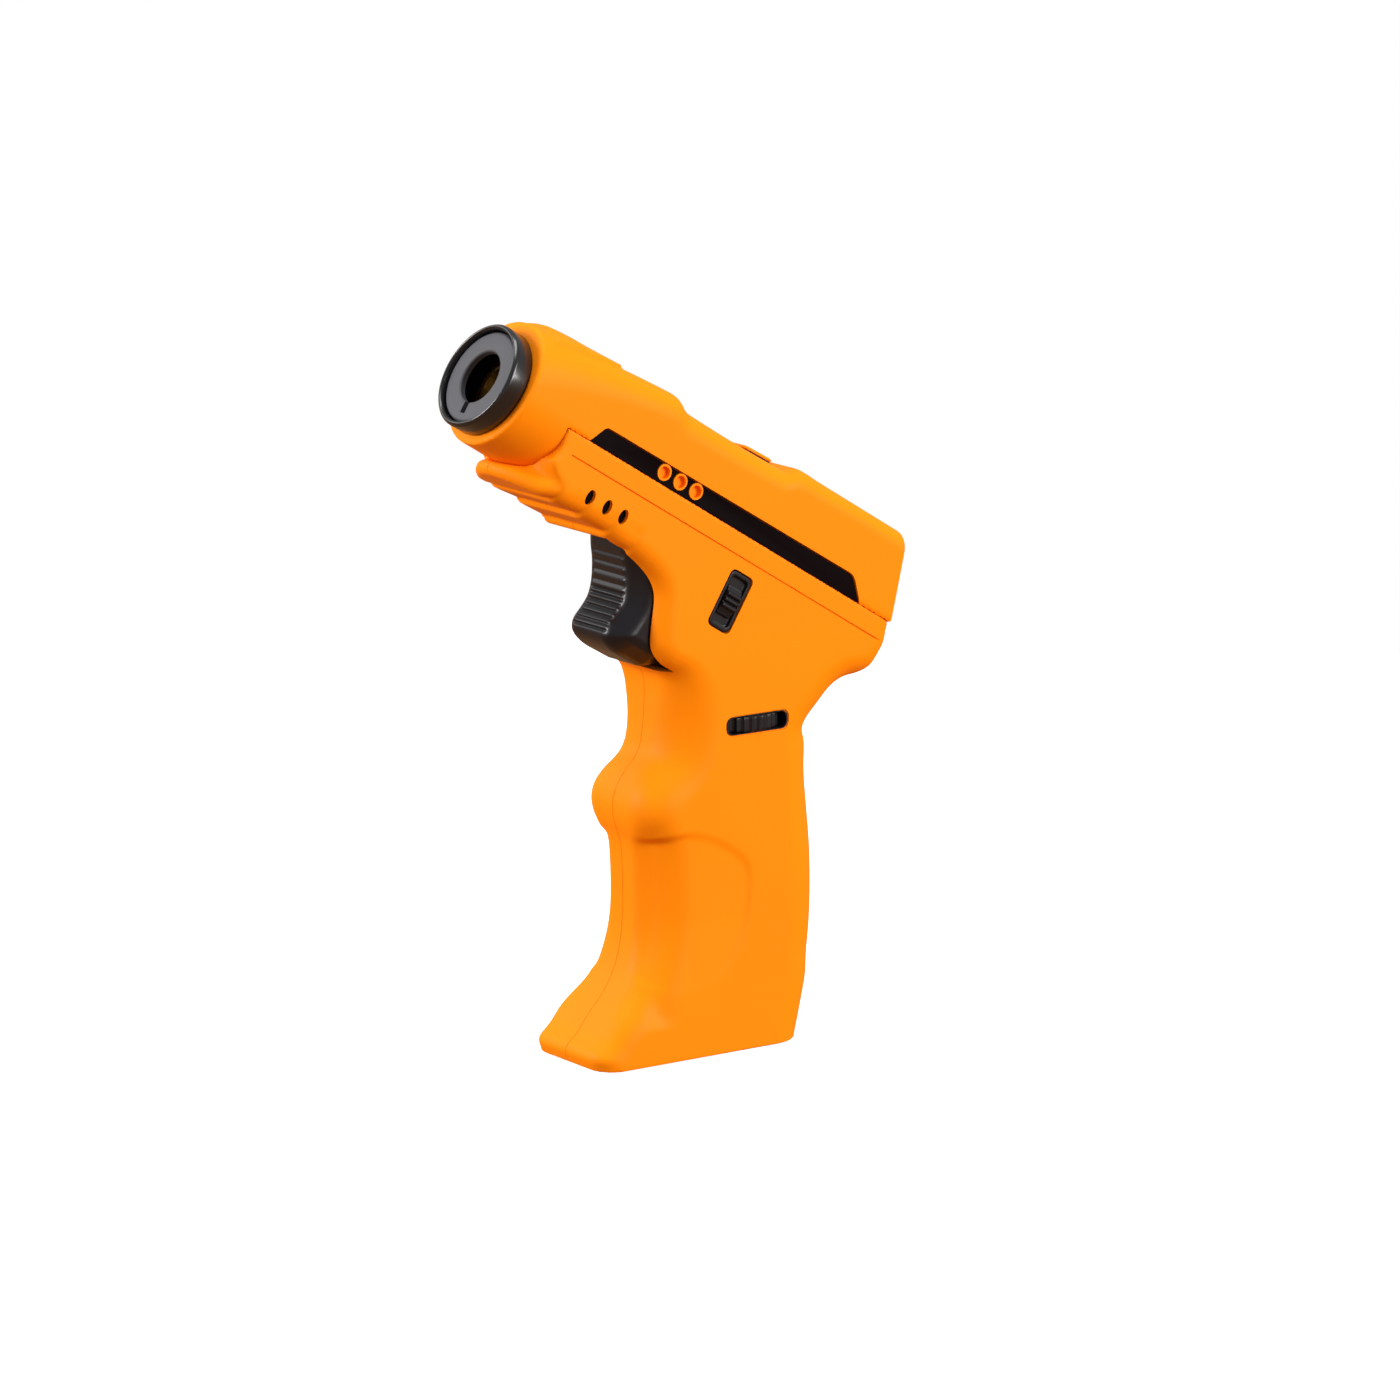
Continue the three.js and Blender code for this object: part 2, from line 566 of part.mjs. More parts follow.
piece(barrel, 'thermopile', turned([
  [0, -SENSOR_REAR - GAP], [4.1, -SENSOR_REAR - GAP], [4.1, -SENSOR_REAR - 3.2],
  [4.6, -SENSOR_REAR - 3.2], [4.6, -SENSOR_REAR - 4], [0, -SENSOR_REAR - 4],
], 24), steel);
const SENSOR_BOARD_BACK = SENSOR_REAR + 4 + GAP;
piece(barrel, 'sensor_board', box(-SENSOR_BOARD_BACK - 1.2, -SENSOR_BOARD_BACK, -8, 8, -5.6, 8),
  circuitBoard);

// ---------------------------------------------------------------- main board and its parts

const BOARD_Y = 2;
const BOARD_THICKNESS = 1.6;
const BOARD_TOP = 9.4;
const boardSide = BOARD_Y + BOARD_THICKNESS;
const boardOutline = [
  [-34, -5], [-62, -5], [-77, -12], [-77, -26], [-92, -26], [-92, -11], [-COVER_LENGTH + 9, -11],
  [-COVER_LENGTH + 9, -2], [-COVER_LENGTH + 14, BOARD_TOP], [-34, BOARD_TOP],
];
piece(barrel, 'main_board', join(
  plate(boardOutline, BOARD_Y, boardSide),
  box(-60, -48, boardSide - 0.1, boardSide + 1.4, -3, 6),
  box(-108, -96, boardSide - 0.1, boardSide + 1.4, -6, 3),
  box(-44, -38, boardSide - 0.1, boardSide + 2, -3, 3),
), circuitBoard);
piece(barrel, 'buzzer', cut(
  rodY(5, BOARD_Y - GAP - 4, BOARD_Y - GAP, -98, 0),
  rodY(1, BOARD_Y - GAP - 6, BOARD_Y - GAP - 2, -98, 0, 12),
), blackPlastic);

// ---------------------------------------------------------------- top button

const coverTopAtButton = 18;
const switchTop = BOARD_TOP + GAP + 3.4;
piece(barrel, 'tact_switch', join(
  box(-BUTTON_BACK - 3, -BUTTON_BACK + 3, boardSide - 5.4, boardSide + 0.6,
    BOARD_TOP + GAP, switchTop),
  rodZ(1.5, switchTop - 0.1, switchTop + 0.8 - GAP, -BUTTON_BACK, boardSide - 2.4, 16),
), blackPlastic);
const buttonFoot = switchTop + 0.8 + BUTTON_STROKE;
piece(barrel, 'top_button', box(-BUTTON_BACK - BUTTON_LENGTH / 2, -BUTTON_BACK + BUTTON_LENGTH / 2,
  -BUTTON_WIDTH / 2, BUTTON_WIDTH / 2, buttonFoot, coverTopAtButton + 0.5), orangePlastic);

// ---------------------------------------------------------------- display in the rear face

piece(rearPanel, 'lcd_window', box(0.3, 1.6, -DISPLAY_WIDTH / 2, DISPLAY_WIDTH / 2,
  -DISPLAY_HEIGHT / 2, DISPLAY_HEIGHT / 2), clearWindow);
piece(rearPanel, 'lcd_module', box(WALL + GAP, WALL + GAP + 2.6, -DISPLAY_WIDTH / 2 - 1,
  DISPLAY_WIDTH / 2 + 1, -DISPLAY_HEIGHT / 2 - 0.7, DISPLAY_HEIGHT / 2 - 0.4), displayGlass);
piece(rearPanel, 'display_board', box(WALL + 2 * GAP + 2.6, WALL + 2 * GAP + 3.8,
  -DISPLAY_WIDTH / 2 - 1, DISPLAY_WIDTH / 2 + 1, -DISPLAY_HEIGHT / 2 - 0.7,
  DISPLAY_HEIGHT / 2 - 0.4), circuitBoard);

// ---------------------------------------------------------------- trigger

const triggerFront = smooth([
  aboveNeck(17.4, 50.5), aboveNeck(16.7, 43), aboveNeck(17.2, 37), aboveNeck(18.9, 32.5),
  aboveNeck(22, 29), aboveNeck(23.1, 26.6), aboveNeck(21.4, 23.6),
], 14);
const triggerOutline = [
  ...triggerFront,
  aboveNeck(13.6, 18.2), aboveNeck(7.2, 18.2), aboveNeck(7.4, 40), aboveNeck(8.6, 50.5),
];
const TRIGGER_EDGE = 1.5;
piece(device, 'trigger', cut(
  join(
    slab(triggerOutline, TRIGGER_HALF_WIDTH, TRIGGER_EDGE),
    rodY(TRIGGER_PIN_RADIUS + 2, -TRIGGER_HALF_WIDTH + 3, TRIGGER_HALF_WIDTH - 3,
      triggerPivot.x, triggerPivot.y),
  ),
  rodY(TRIGGER_PIN_RADIUS + GAP, -60, 60, triggerPivot.x, triggerPivot.y),
), blackPlastic);
piece(device, 'trigger_pin', rodY(TRIGGER_PIN_RADIUS, -bodyInside - 1, bodyInside + 1,
  triggerPivot.x, triggerPivot.y), steel);

const TRIGGER_BOARD_X = -8;
const springX0 = TRIGGER_BOARD_X + 1.6 + GAP + 0.7;
const springZ = GRIP_HEIGHT + 25;
piece(device, 'trigger_board', box(TRIGGER_BOARD_X, TRIGGER_BOARD_X + 1.6, -9, 1.7,
  GRIP_HEIGHT + 17, GRIP_HEIGHT + 47), circuitBoard);
piece(device, 'trigger_spring', coilSpring(2.4, 0.5, springX0, 7.2 - GAP - 0.7, 5)
  .translate(0, -4, springZ), steel);
piece(device, 'trigger_switch', join(
  box(TRIGGER_BOARD_X + 1.6 + GAP, TRIGGER_BOARD_X + 8.2, -8, 0.6,
    GRIP_HEIGHT + 31, GRIP_HEIGHT + 41),
  box(TRIGGER_BOARD_X + 8, TRIGGER_BOARD_X + 9.6, -5, -2.4, GRIP_HEIGHT + 35, GRIP_HEIGHT + 37.6),
), blackPlastic);

// ---------------------------------------------------------------- mode slider

const sliderFrameOuter = BODY_HALF_WIDTH - 0.3;
const sliderFrameInner = BODY_HALF_WIDTH - WALL - 0.2;
const slider = new THREE.Group();
slider.position.set(-SLIDER_BACK, 0, SLIDER_HEIGHT);
barrel.add(slider);
const frameHalfWidth = SLIDER_WIDTH / 2 - GAP;
const frameHalfLength = SLIDER_LENGTH / 2 - GAP;
const windowHalfWidth = frameHalfWidth - 0.7;
const windowHalfLength = frameHalfLength - 0.9;
piece(slider, 'slider_frame', cut(
  box(-frameHalfWidth, frameHalfWidth, sliderFrameInner, sliderFrameOuter,
    -frameHalfLength, frameHalfLength),
  box(-windowHalfWidth, windowHalfWidth, 0, 60, -windowHalfLength, windowHalfLength),
), blackPlastic);
const knobHalfLength = windowHalfLength - GAP - SLIDER_STROKE / 2;
const KNOB_RIDGES = 3;
const knobTop = BODY_HALF_WIDTH + 0.1;
const ridges = [];
for (let i = 0; i < KNOB_RIDGES; i++) {
  const z = (i - (KNOB_RIDGES - 1) / 2) * 1.9;
  ridges.push(box(-windowHalfWidth + GAP, windowHalfWidth - GAP, knobTop - 0.2, knobTop + 0.9,
    z - 0.45, z + 0.45));
}
piece(slider, 'slider_knob', join(
  box(-windowHalfWidth + GAP, windowHalfWidth - GAP, sliderFrameInner + 0.4, knobTop,
    -knobHalfLength, knobHalfLength),
  ...ridges,
), blackPlastic);
piece(slider, 'slide_switch', box(-SLIDER_WIDTH / 2, SLIDER_WIDTH / 2, boardSide + GAP,
  sliderFrameInner - GAP, -SLIDER_LENGTH / 2, SLIDER_LENGTH / 2), greyPlastic);

// ---------------------------------------------------------------- thumbwheel

const wheelY = BODY_HALF_WIDTH + WHEEL_PROUD - WHEEL_RADIUS;
const dial = new THREE.Group();
dial.position.set(WHEEL_X, wheelY, wheelZ);
device.add(dial);
const WHEEL_RIBS = 36;
const RIB_DEPTH = 0.5;
const SHAFT_RADIUS = 2;

function wheelSolid() {
  const outline = [];
  for (let i = 0; i < WHEEL_RIBS * 2; i++) {
    const radius = WHEEL_RADIUS - (i % 2) * RIB_DEPTH;
    const angle = Math.PI * i / WHEEL_RIBS;
    outline.push(new THREE.Vector2(radius * Math.cos(angle), radius * Math.sin(angle)));
  }
  const rim = new THREE.ExtrudeGeometry(new THREE.Shape(outline), {
    depth: WHEEL_THICKNESS, bevelEnabled: false,
  }).translate(0, 0, -WHEEL_THICKNESS / 2);
  return cut(rim, rodZ(SHAFT_RADIUS + GAP, -20, 20));
}

piece(dial, 'thumbwheel', wheelSolid(), blackPlastic);
const potTop = -WHEEL_THICKNESS / 2 - GAP;
piece(dial, 'dial_potentiometer', join(
  box(-4.8, 4.8, -4.8, 4.8, potTop - 4.6, potTop),
  rodZ(SHAFT_RADIUS, potTop - 1, WHEEL_THICKNESS / 2 + 0.6),
), greyPlastic);
piece(dial, 'dial_board', box(-9, 9, -bodyInside + 1 - wheelY, bodyInside - 1 - wheelY,
  potTop - 4.6 - GAP - 1.6, potTop - 4.6 - GAP), circuitBoard);

// ---------------------------------------------------------------- battery bay and hatch

const FLANGE_THICKNESS = 3.1;
const cellTop = CELL_BOTTOM + CELL_LENGTH;
const pocketTop = cellTop + 4.2;
const cellXs = [CELLS_X - CELL_SPACING / 2, CELLS_X + CELL_SPACING / 2];
const HINGE_Z = 1.2;
const hingeX = CELLS_X - bayHalfLength + 0.9;
const hatchFront = CELLS_X + bayHalfLength - 0.6;
const HATCH_PIN_RADIUS = 0.5;
const flangeHalfWidth = bodyInside - 0.7;
const flangeFront = TOE_X - WALL - 1.6;
const flangeRear = HEEL_X + WALL + 0.7;

function baseFlange() {
  const corner = 4;
  const shape = new THREE.Shape();
  shape.moveTo(flangeRear + corner, -flangeHalfWidth);
  shape.lineTo(flangeFront - corner, -flangeHalfWidth);
  shape.absarc(flangeFront - corner, -flangeHalfWidth + corner, corner, -Math.PI / 2, 0);
  shape.absarc(flangeFront - corner, flangeHalfWidth - corner, corner, 0, Math.PI / 2);
  shape.absarc(flangeRear + corner, flangeHalfWidth - corner, corner, Math.PI / 2, Math.PI);
  shape.absarc(flangeRear + corner, -flangeHalfWidth + corner, corner, Math.PI, Math.PI * 1.5);
  return new THREE.ExtrudeGeometry(shape, {
    depth: FLANGE_THICKNESS, bevelEnabled: false, curveSegments: 5,
  });
}

const openingHalfWidth = pocketRadius + GAP;
const hatchOpening = box(hingeX - 1.5, hatchFront + GAP, -openingHalfWidth, openingHalfWidth,
  -5, FLANGE_THICKNESS);
piece(device, 'base_plate', cut(
  baseFlange(),
  hatchOpening,
  rodY(HATCH_PIN_RADIUS + GAP, -bayHalfWidth - 2, bayHalfWidth + 2, hingeX, HINGE_Z, 12),
), blackPlastic);
piece(device, 'battery_tray', cut(
  box(CELLS_X - bayHalfLength, CELLS_X + bayHalfLength, -bayHalfWidth, bayHalfWidth,
    FLANGE_THICKNESS + GAP, pocketTop + 2),
  ...cellXs.map((x) => rodZ(pocketRadius, -5, pocketTop, x, 0, 20)),
  box(cellXs[0], cellXs[1], -2, 2, -5, pocketTop),
), blackPlastic);

function cell(x, flip) {
  const profile = [[0, 0], [CELL_RADIUS - 0.3, 0], [CELL_RADIUS, 0.3],
    [CELL_RADIUS, CELL_LENGTH - 0.4], [CELL_RADIUS - 0.4, CELL_LENGTH], [1.9, CELL_LENGTH],
    [1.9, CELL_LENGTH + 0.9], [0, CELL_LENGTH + 0.9]];
  const points = profile.map(([radius, z]) => new THREE.Vector2(radius, z));
  const geometry = new THREE.LatheGeometry(points, 20).rotateX(Math.PI / 2);
  if (flip) {
    geometry.rotateX(Math.PI);
    geometry.translate(0, 0, CELL_LENGTH + 0.9);
  }
  return geometry.translate(x, 0, CELL_BOTTOM);
}

piece(device, 'battery_1', cell(cellXs[0], false), cellSleeve);
piece(device, 'battery_2', cell(cellXs[1], true), cellSleeve);

const contactZ = pocketTop - 0.5;
piece(device, 'contact_positive', box(cellXs[0] - 3, cellXs[0] + 3, -3, 3, contactZ - 0.4,
  contactZ + 0.2), brass);
piece(device, 'contact_negative', box(cellXs[1] - 3, cellXs[1] + 3, -3, 3, contactZ - 0.4,
  contactZ + 0.2), brass);

const hatchTop = HINGE_Z + 1;
const hatchHalfWidth = openingHalfWidth - GAP;
piece(device, 'battery_hatch', cut(
  join(
    box(hingeX, hatchFront, -hatchHalfWidth, hatchHalfWidth, 0, hatchTop),
    rodY(1.1, -hatchHalfWidth, hatchHalfWidth, hingeX, HINGE_Z - 0.1, 16),
  ),
  rodY(HATCH_PIN_RADIUS + 0.25, -60, 60, hingeX, HINGE_Z, 12),
), orangePlastic);
piece(device, 'hatch_pin', rodY(HATCH_PIN_RADIUS, -bayHalfWidth - 1.6, bayHalfWidth + 1.6,
  hingeX, HINGE_Z, 12), steel);
piece(device, 'contact_bridge', box(cellXs[0] - 3, cellXs[1] + 3, -3.2, 3.2, hatchTop + GAP,
  hatchTop + GAP + 0.4), brass);

// ---------------------------------------------------------------- battery leads

const leadStart = pocketTop + 2 + 2 * GAP;
const boardFoot = barrelPoint(84, -26 - GAP - 0.8);
piece(device, 'lead_red', lead(0.6, [
  [cellXs[0] + 4, -4, leadStart], [cellXs[0] + 4.4, -4.6, leadStart + 2],
  [-4, -9.5, GRIP_HEIGHT - 12], [-2.4, -10, GRIP_HEIGHT - 5], [-2.4, -9, GRIP_HEIGHT + 6],
  [boardFoot.x, 0, boardFoot.y - 5], [boardFoot.x, BOARD_Y + 0.8, boardFoot.y],
]), redLead);
piece(device, 'lead_black', lead(0.6, [
  [cellXs[1] + 2, -4, leadStart], [cellXs[1] + 2.6, -4.4, leadStart + 2],
  [-0.4, -7.5, GRIP_HEIGHT - 12], [0, -7.5, GRIP_HEIGHT - 5], [0.2, -6, GRIP_HEIGHT + 6],
  [boardFoot.x + 3, 0, boardFoot.y - 3], [boardFoot.x + 3, BOARD_Y + 0.8, boardFoot.y + 1.8],
]), blackLead);

export default object;
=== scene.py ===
import json
import math

import bpy
import numpy as np
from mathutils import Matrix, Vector


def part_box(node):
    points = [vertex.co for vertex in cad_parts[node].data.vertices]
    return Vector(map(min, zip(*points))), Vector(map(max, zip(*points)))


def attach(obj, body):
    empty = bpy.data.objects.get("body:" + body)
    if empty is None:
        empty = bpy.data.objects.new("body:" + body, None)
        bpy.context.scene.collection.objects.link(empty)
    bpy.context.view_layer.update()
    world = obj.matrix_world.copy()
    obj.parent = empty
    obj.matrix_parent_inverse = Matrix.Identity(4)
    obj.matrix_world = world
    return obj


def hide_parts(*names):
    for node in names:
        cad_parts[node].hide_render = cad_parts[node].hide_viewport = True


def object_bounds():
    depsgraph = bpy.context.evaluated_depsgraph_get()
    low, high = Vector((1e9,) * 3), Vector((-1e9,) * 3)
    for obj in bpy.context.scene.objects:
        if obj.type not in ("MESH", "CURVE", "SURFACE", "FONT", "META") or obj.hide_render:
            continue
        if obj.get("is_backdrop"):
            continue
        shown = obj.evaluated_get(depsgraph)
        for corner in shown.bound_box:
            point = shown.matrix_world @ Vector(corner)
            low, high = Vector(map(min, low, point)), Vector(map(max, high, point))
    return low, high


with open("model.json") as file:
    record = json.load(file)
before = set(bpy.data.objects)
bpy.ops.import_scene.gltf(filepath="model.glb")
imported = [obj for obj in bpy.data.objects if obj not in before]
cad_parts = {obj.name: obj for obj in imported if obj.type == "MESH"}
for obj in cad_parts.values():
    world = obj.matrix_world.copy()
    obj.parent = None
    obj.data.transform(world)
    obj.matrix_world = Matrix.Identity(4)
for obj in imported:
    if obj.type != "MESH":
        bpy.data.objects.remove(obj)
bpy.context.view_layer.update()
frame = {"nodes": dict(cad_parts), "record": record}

# ------------------------------------------------------------------ frames and sizes (mm)

MM = 0.001
PITCH = math.radians(31.5)  # of the barrel
COS, SIN = math.cos(PITCH), math.sin(PITCH)
disc_low, disc_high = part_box("aperture_disc")
DISC_MIDDLE = 1.9  # muzzle face to the middle of the aperture disc
MUZZLE_X = (disc_low.x + disc_high.x) / 2 / MM + DISC_MIDDLE * COS
MUZZLE_Z = (disc_low.z + disc_high.z) / 2 / MM + DISC_MIDDLE * SIN
SHIFT = MUZZLE_X - 54.3  # from the outlines' own x to the frame's
SPLIT = -2.1  # height of the line between cover and body, off the barrel axis
UNDERSIDE = -18.4
COVER_HALF = 15.2
COVER_LENGTH = 127.2
REAR_SLOPE = 0.33
TUBE_RADIUS = 14.9
TUBE_LENGTH = 18.6
WALL = 2.2


def joint_place(name):
    """A hinge's place in mm, from the record."""
    for joint in frame["record"]["behaviour"]["joints"]:
        if joint["name"] == name:
            return tuple(v / MM for v in joint["pos_m"])
    raise ValueError(name)


def to_barrel(x, z):
    """Distance back from the muzzle face and height off the barrel axis."""
    dx, dz = x - MUZZLE_X, z - MUZZLE_Z
    return -(dx * COS + dz * SIN), -dx * SIN + dz * COS


def from_barrel(s, n):
    return MUZZLE_X - s * COS - n * SIN, MUZZLE_Z - s * SIN + n * COS


def barrel_points(points):
    return [from_barrel(s, n) for s, n in points]


def device(points):
    return [(x + SHIFT, z) for x, z in points]


# ------------------------------------------------------------------ camera

HEADING, ELEVATION = math.radians(54.9), math.radians(12.2)
AIM = Vector((-9.35, 0.0, 82.07)) * MM
DISTANCE = 1.692
SENSOR_WIDTH = 36.0
FOCAL_RATIO = 36 / 7  # focal length over the sensor's width
towards = Vector((math.cos(ELEVATION) * math.cos(HEADING),
                  math.cos(ELEVATION) * math.sin(HEADING), math.sin(ELEVATION)))
camera_data = bpy.data.cameras.new("camera")
camera_data.sensor_width = SENSOR_WIDTH
camera_data.lens = SENSOR_WIDTH * FOCAL_RATIO
camera_data.clip_end = 20
camera = bpy.data.objects.new("camera", camera_data)
camera.location = AIM + towards * DISTANCE
camera.rotation_mode = "QUATERNION"
camera.rotation_quaternion = towards.to_track_quat("Z", "Y")
bpy.context.scene.collection.objects.link(camera)
bpy.context.scene.camera = camera


# ------------------------------------------------------------------ fields

def smoothstep(low, high, v):
    t = np.clip((v - low) / (high - low), 0, 1)
    return t * t * (3 - 2 * t)


def round_max(a, b, r):
    """Intersection of two fields with a rounded edge of radius r."""
    u, v = a + r, b + r
    return np.hypot(np.maximum(u, 0), np.maximum(v, 0)) + np.minimum(np.maximum(u, v), 0) - r


def round_min(a, b, r):
    return -round_max(-a, -b, r)


def spline(points, steps=8):
    """Points along a smooth curve through the given ones."""
    p = np.array(points, float)
    p = np.vstack([2 * p[0] - p[1], p, 2 * p[-1] - p[-2]])
    t = np.linspace(0, 1, steps, endpoint=False)[:, None]
    out = []
    for i in range(1, len(p) - 2):
        a, b, c, d = p[i - 1:i + 3]
        out.append(0.5 * (2 * b + (c - a) * t + (2 * a - 5 * b + 4 * c - d) * t ** 2
                          + (3 * b - a - 3 * c + d) * t ** 3))
    out.append(p[-2:-1])
    return np.vstack(out)


def outline_distance(outline, u, v):
    """Signed distance to a closed outline, negative inside."""
    best = np.full(np.broadcast(u, v).shape, 1e9)
    inside = np.zeros(best.shape, bool)
    for (u0, v0), (u1, v1) in zip(outline, np.roll(outline, -1, axis=0)):
        eu, ev = u1 - u0, v1 - v0
        wu, wv = u - u0, v - v0
        t = np.clip((wu * eu + wv * ev) / (eu * eu + ev * ev + 1e-12), 0, 1)
        best = np.minimum(best, (wu - eu * t) ** 2 + (wv - ev * t) ** 2)
        if v0 != v1:
            inside ^= ((v0 > v) != (v1 > v)) & (wu < eu * wv / ev)
    return np.where(inside, -1, 1) * np.sqrt(best)


class Map:
    """A function of two coordinates, kept on a grid and read back smoothly."""

    def __init__(self, function, low, high, step, blur=0.0):
        self.low, self.step = low, step
        u = np.arange(low[0], high[0], step)
        v = np.arange(low[1], high[1], step)
        self.values = function(u[:, None], v[None, :])
        if blur:
            reach = int(3 * blur / step)
            k = np.exp(-0.5 * (np.arange(-reach, reach + 1) * step / blur) ** 2)
            k /= k.sum()
            padded = np.pad(self.values, reach, mode="reflect", reflect_type="odd")
            padded = np.apply_along_axis(np.convolve, 0, padded, k, "valid")
            self.values = np.apply_along_axis(np.convolve, 1, padded, k, "valid")

    def __call__(self, u, v):
        def taps(w, low, count):
            w = np.clip((w - low) / self.step, 1, count - 3)
            i = np.floor(w).astype(int)
            t = w - i
            return i, (0.5 * (-t + 2 * t ** 2 - t ** 3), 0.5 * (2 - 5 * t ** 2 + 3 * t ** 3),
                       0.5 * (t + 4 * t ** 2 - 3 * t ** 3), 0.5 * (t ** 3 - t ** 2))
        i, wi = taps(u, self.low[0], self.values.shape[0])
        j, wj = taps(v, self.low[1], self.values.shape[1])
        total = 0
        for a in range(4):
            for b in range(4):
                total = total + wi[a] * wj[b] * self.values[i + a - 1, j + b - 1]
        return total


def spread(places, reach):
    """A smooth function of two coordinates that passes near the given (u, v, value) places."""
    def function(u, v):
        weight, total = 1e-9, 0
        for pu, pv, value in places:
            w = np.exp(-((u - pu) ** 2 + (v - pv) ** 2) / (2 * reach ** 2)) + 1e-7
            weight, total = weight + w, total + w * value
        return total / weight
    return function


def curve_of(points):
    """A smooth function of one coordinate through the given points."""
    p = np.array(points, float)
    dense = spline(p, 12)
    order = np.argsort(dense[:, 0])
    return lambda u: np.interp(u, dense[order, 0], dense[order, 1])


def surface(field, low, high, step, refine=3):
    """Vertices and quads of a field's zero surface, with every vertex moved onto the surface."""
    axes = [np.arange(low[i], high[i] + step, step) for i in range(3)]
    x, y, z = axes[0][:, None, None], axes[1][None, :, None], axes[2][None, None, :]
    f = np.ascontiguousarray(np.broadcast_to(field(x, y, z), [len(a) for a in axes]))
    inside = f < 0
    count = np.zeros([n - 1 for n in f.shape], np.int8)
    corners = [(i, j, k) for i in (0, 1) for j in (0, 1) for k in (0, 1)]
    shape = f.shape
    for i, j, k in corners:
        count += inside[i:shape[0] - 1 + i, j:shape[1] - 1 + j, k:shape[2] - 1 + k]
    active = (count > 0) & (count < 8)
    index = np.full(active.shape, -1, np.int64)
    cells = np.argwhere(active)
    index[tuple(cells.T)] = np.arange(len(cells))
    place, hits = np.zeros((len(cells), 3)), np.zeros((len(cells), 1))
    for a in corners:
        for axis in range(3):
            if a[axis]:
                continue
            b = np.array(a)
            b[axis] = 1
            fa, fb = f[tuple((cells + a).T)], f[tuple((cells + b).T)]
            crosses = ((fa < 0) != (fb < 0))[:, None]
            t = (fa / np.where(fa == fb, 1, fa - fb))[:, None]
            place += np.where(crosses, a + t * (b - a), 0)
            hits += crosses
    points = np.array([a[0] for a in axes]) + (cells + place / hits) * step
    faces = []
    for axis in range(3):
        one, two = (axis + 1) % 3, (axis + 2) % 3
        start = [slice(None)] * 3
        start[axis] = slice(0, -1)
        end = [slice(None)] * 3
        end[axis] = slice(1, None)
        change = inside[tuple(start)] != inside[tuple(end)]
        edges = np.argwhere(change)
        keep = (edges[:, one] > 0) & (edges[:, two] > 0) \
            & (edges[:, one] < active.shape[one]) & (edges[:, two] < active.shape[two])
        edges = edges[keep]
        ring = []
        for du, dv in ((-1, -1), (0, -1), (0, 0), (-1, 0)):
            at = edges.copy()
            at[:, one] += du
            at[:, two] += dv
            ring.append(index[tuple(at.T)])
        ring = np.stack(ring, 1)
        outward = inside[tuple(edges.T)]
        ring[~outward] = ring[~outward][:, ::-1]
        faces.append(ring)
    for _ in range(refine):
        p = points.T
        value = field(*p)
        tiny = 0.02
        slope = np.stack([(field(*(p + tiny * np.eye(3)[:, [i]])) - value) / tiny
                          for i in range(3)], 1)
        size = (slope ** 2).sum(1)
        move = -(value / np.maximum(size, 0.2))[:, None] * slope
        length = np.linalg.norm(move, axis=1, keepdims=True)
        points = points + move * np.minimum(1, 0.35 * step / np.maximum(length, 1e-9))
    return points, np.vstack(faces)


# ------------------------------------------------------------------ meshes

def mesh_object(name, points, faces, smooth=True):
    """A mesh from points in mm, with its faces turned outwards."""
    mesh = bpy.data.meshes.new(name)
    mesh.from_pydata((np.asarray(points) * MM).tolist(), [], [list(map(int, f)) for f in faces])
    mesh.validate()
    mesh.calc_loop_triangles()
    corners = np.zeros(len(mesh.loop_triangles) * 3, np.int64)
    mesh.loop_triangles.foreach_get("vertices", corners)
    a, b, c = np.asarray(points, float)[corners.reshape(-1, 3)].transpose(1, 0, 2)
    if np.sum(a * np.cross(b, c)) < 0:
        mesh.flip_normals()
    if smooth:
        mesh.shade_smooth()
    obj = bpy.data.objects.new(name, mesh)
    bpy.context.scene.collection.objects.link(obj)
    return obj


def apply_modifiers(obj):
    graph = bpy.context.evaluated_depsgraph_get()
    done = bpy.data.meshes.new_from_object(obj.evaluated_get(graph), depsgraph=graph)
    obj.modifiers.clear()
    old = obj.data
    obj.data = done
    bpy.data.meshes.remove(old)


def boolean(obj, tool, operation="DIFFERENCE"):
    mod = obj.modifiers.new("cut", "BOOLEAN")
    mod.object = tool
    mod.operation = operation
    mod.solver = "MANIFOLD"
    apply_modifiers(obj)
    tool_mesh = tool.data
    bpy.data.objects.remove(tool)
    bpy.data.meshes.remove(tool_mesh)
    return obj


def copy_of(obj, name):
    twin = bpy.data.objects.new(name, obj.data.copy())
    bpy.context.scene.collection.objects.link(twin)
    return twin


def sculpted(name, field, low, high, step, refine=3):
    return mesh_object(name, *surface(field, low, high, step, refine))


def sharpen(obj, degrees=45):
    """Marks the edges that bend by more than an angle as sharp."""
    obj.data.set_sharp_from_angle(angle=math.radians(degrees))


def extruded(name, near_ring, far_ring):
    """A solid between two like rings of points."""
    n = len(near_ring)
    faces = [list(range(n)), list(range(n, 2 * n))[::-1]]
    faces += [(i, n + i, n + (i + 1) % n, (i + 1) % n) for i in range(n)]
    return mesh_object(name, [*near_ring, *far_ring], faces, smooth=False)


def prism(outline, y0, y1, barrel=False):
    """An outline in the x-z plane, or in the barrel's own plane, between two y values."""
    flat = barrel_points(outline) if barrel else outline
    return extruded("cutter", *([(x, y, z) for x, z in flat] for y in (y0, y1)))


def slab(y0, y1):
    """All that lies between two y values, used only as a cutter."""
    return prism([(-80, -10), (80, -10), (80, 200), (-80, 200)], y0, y1)


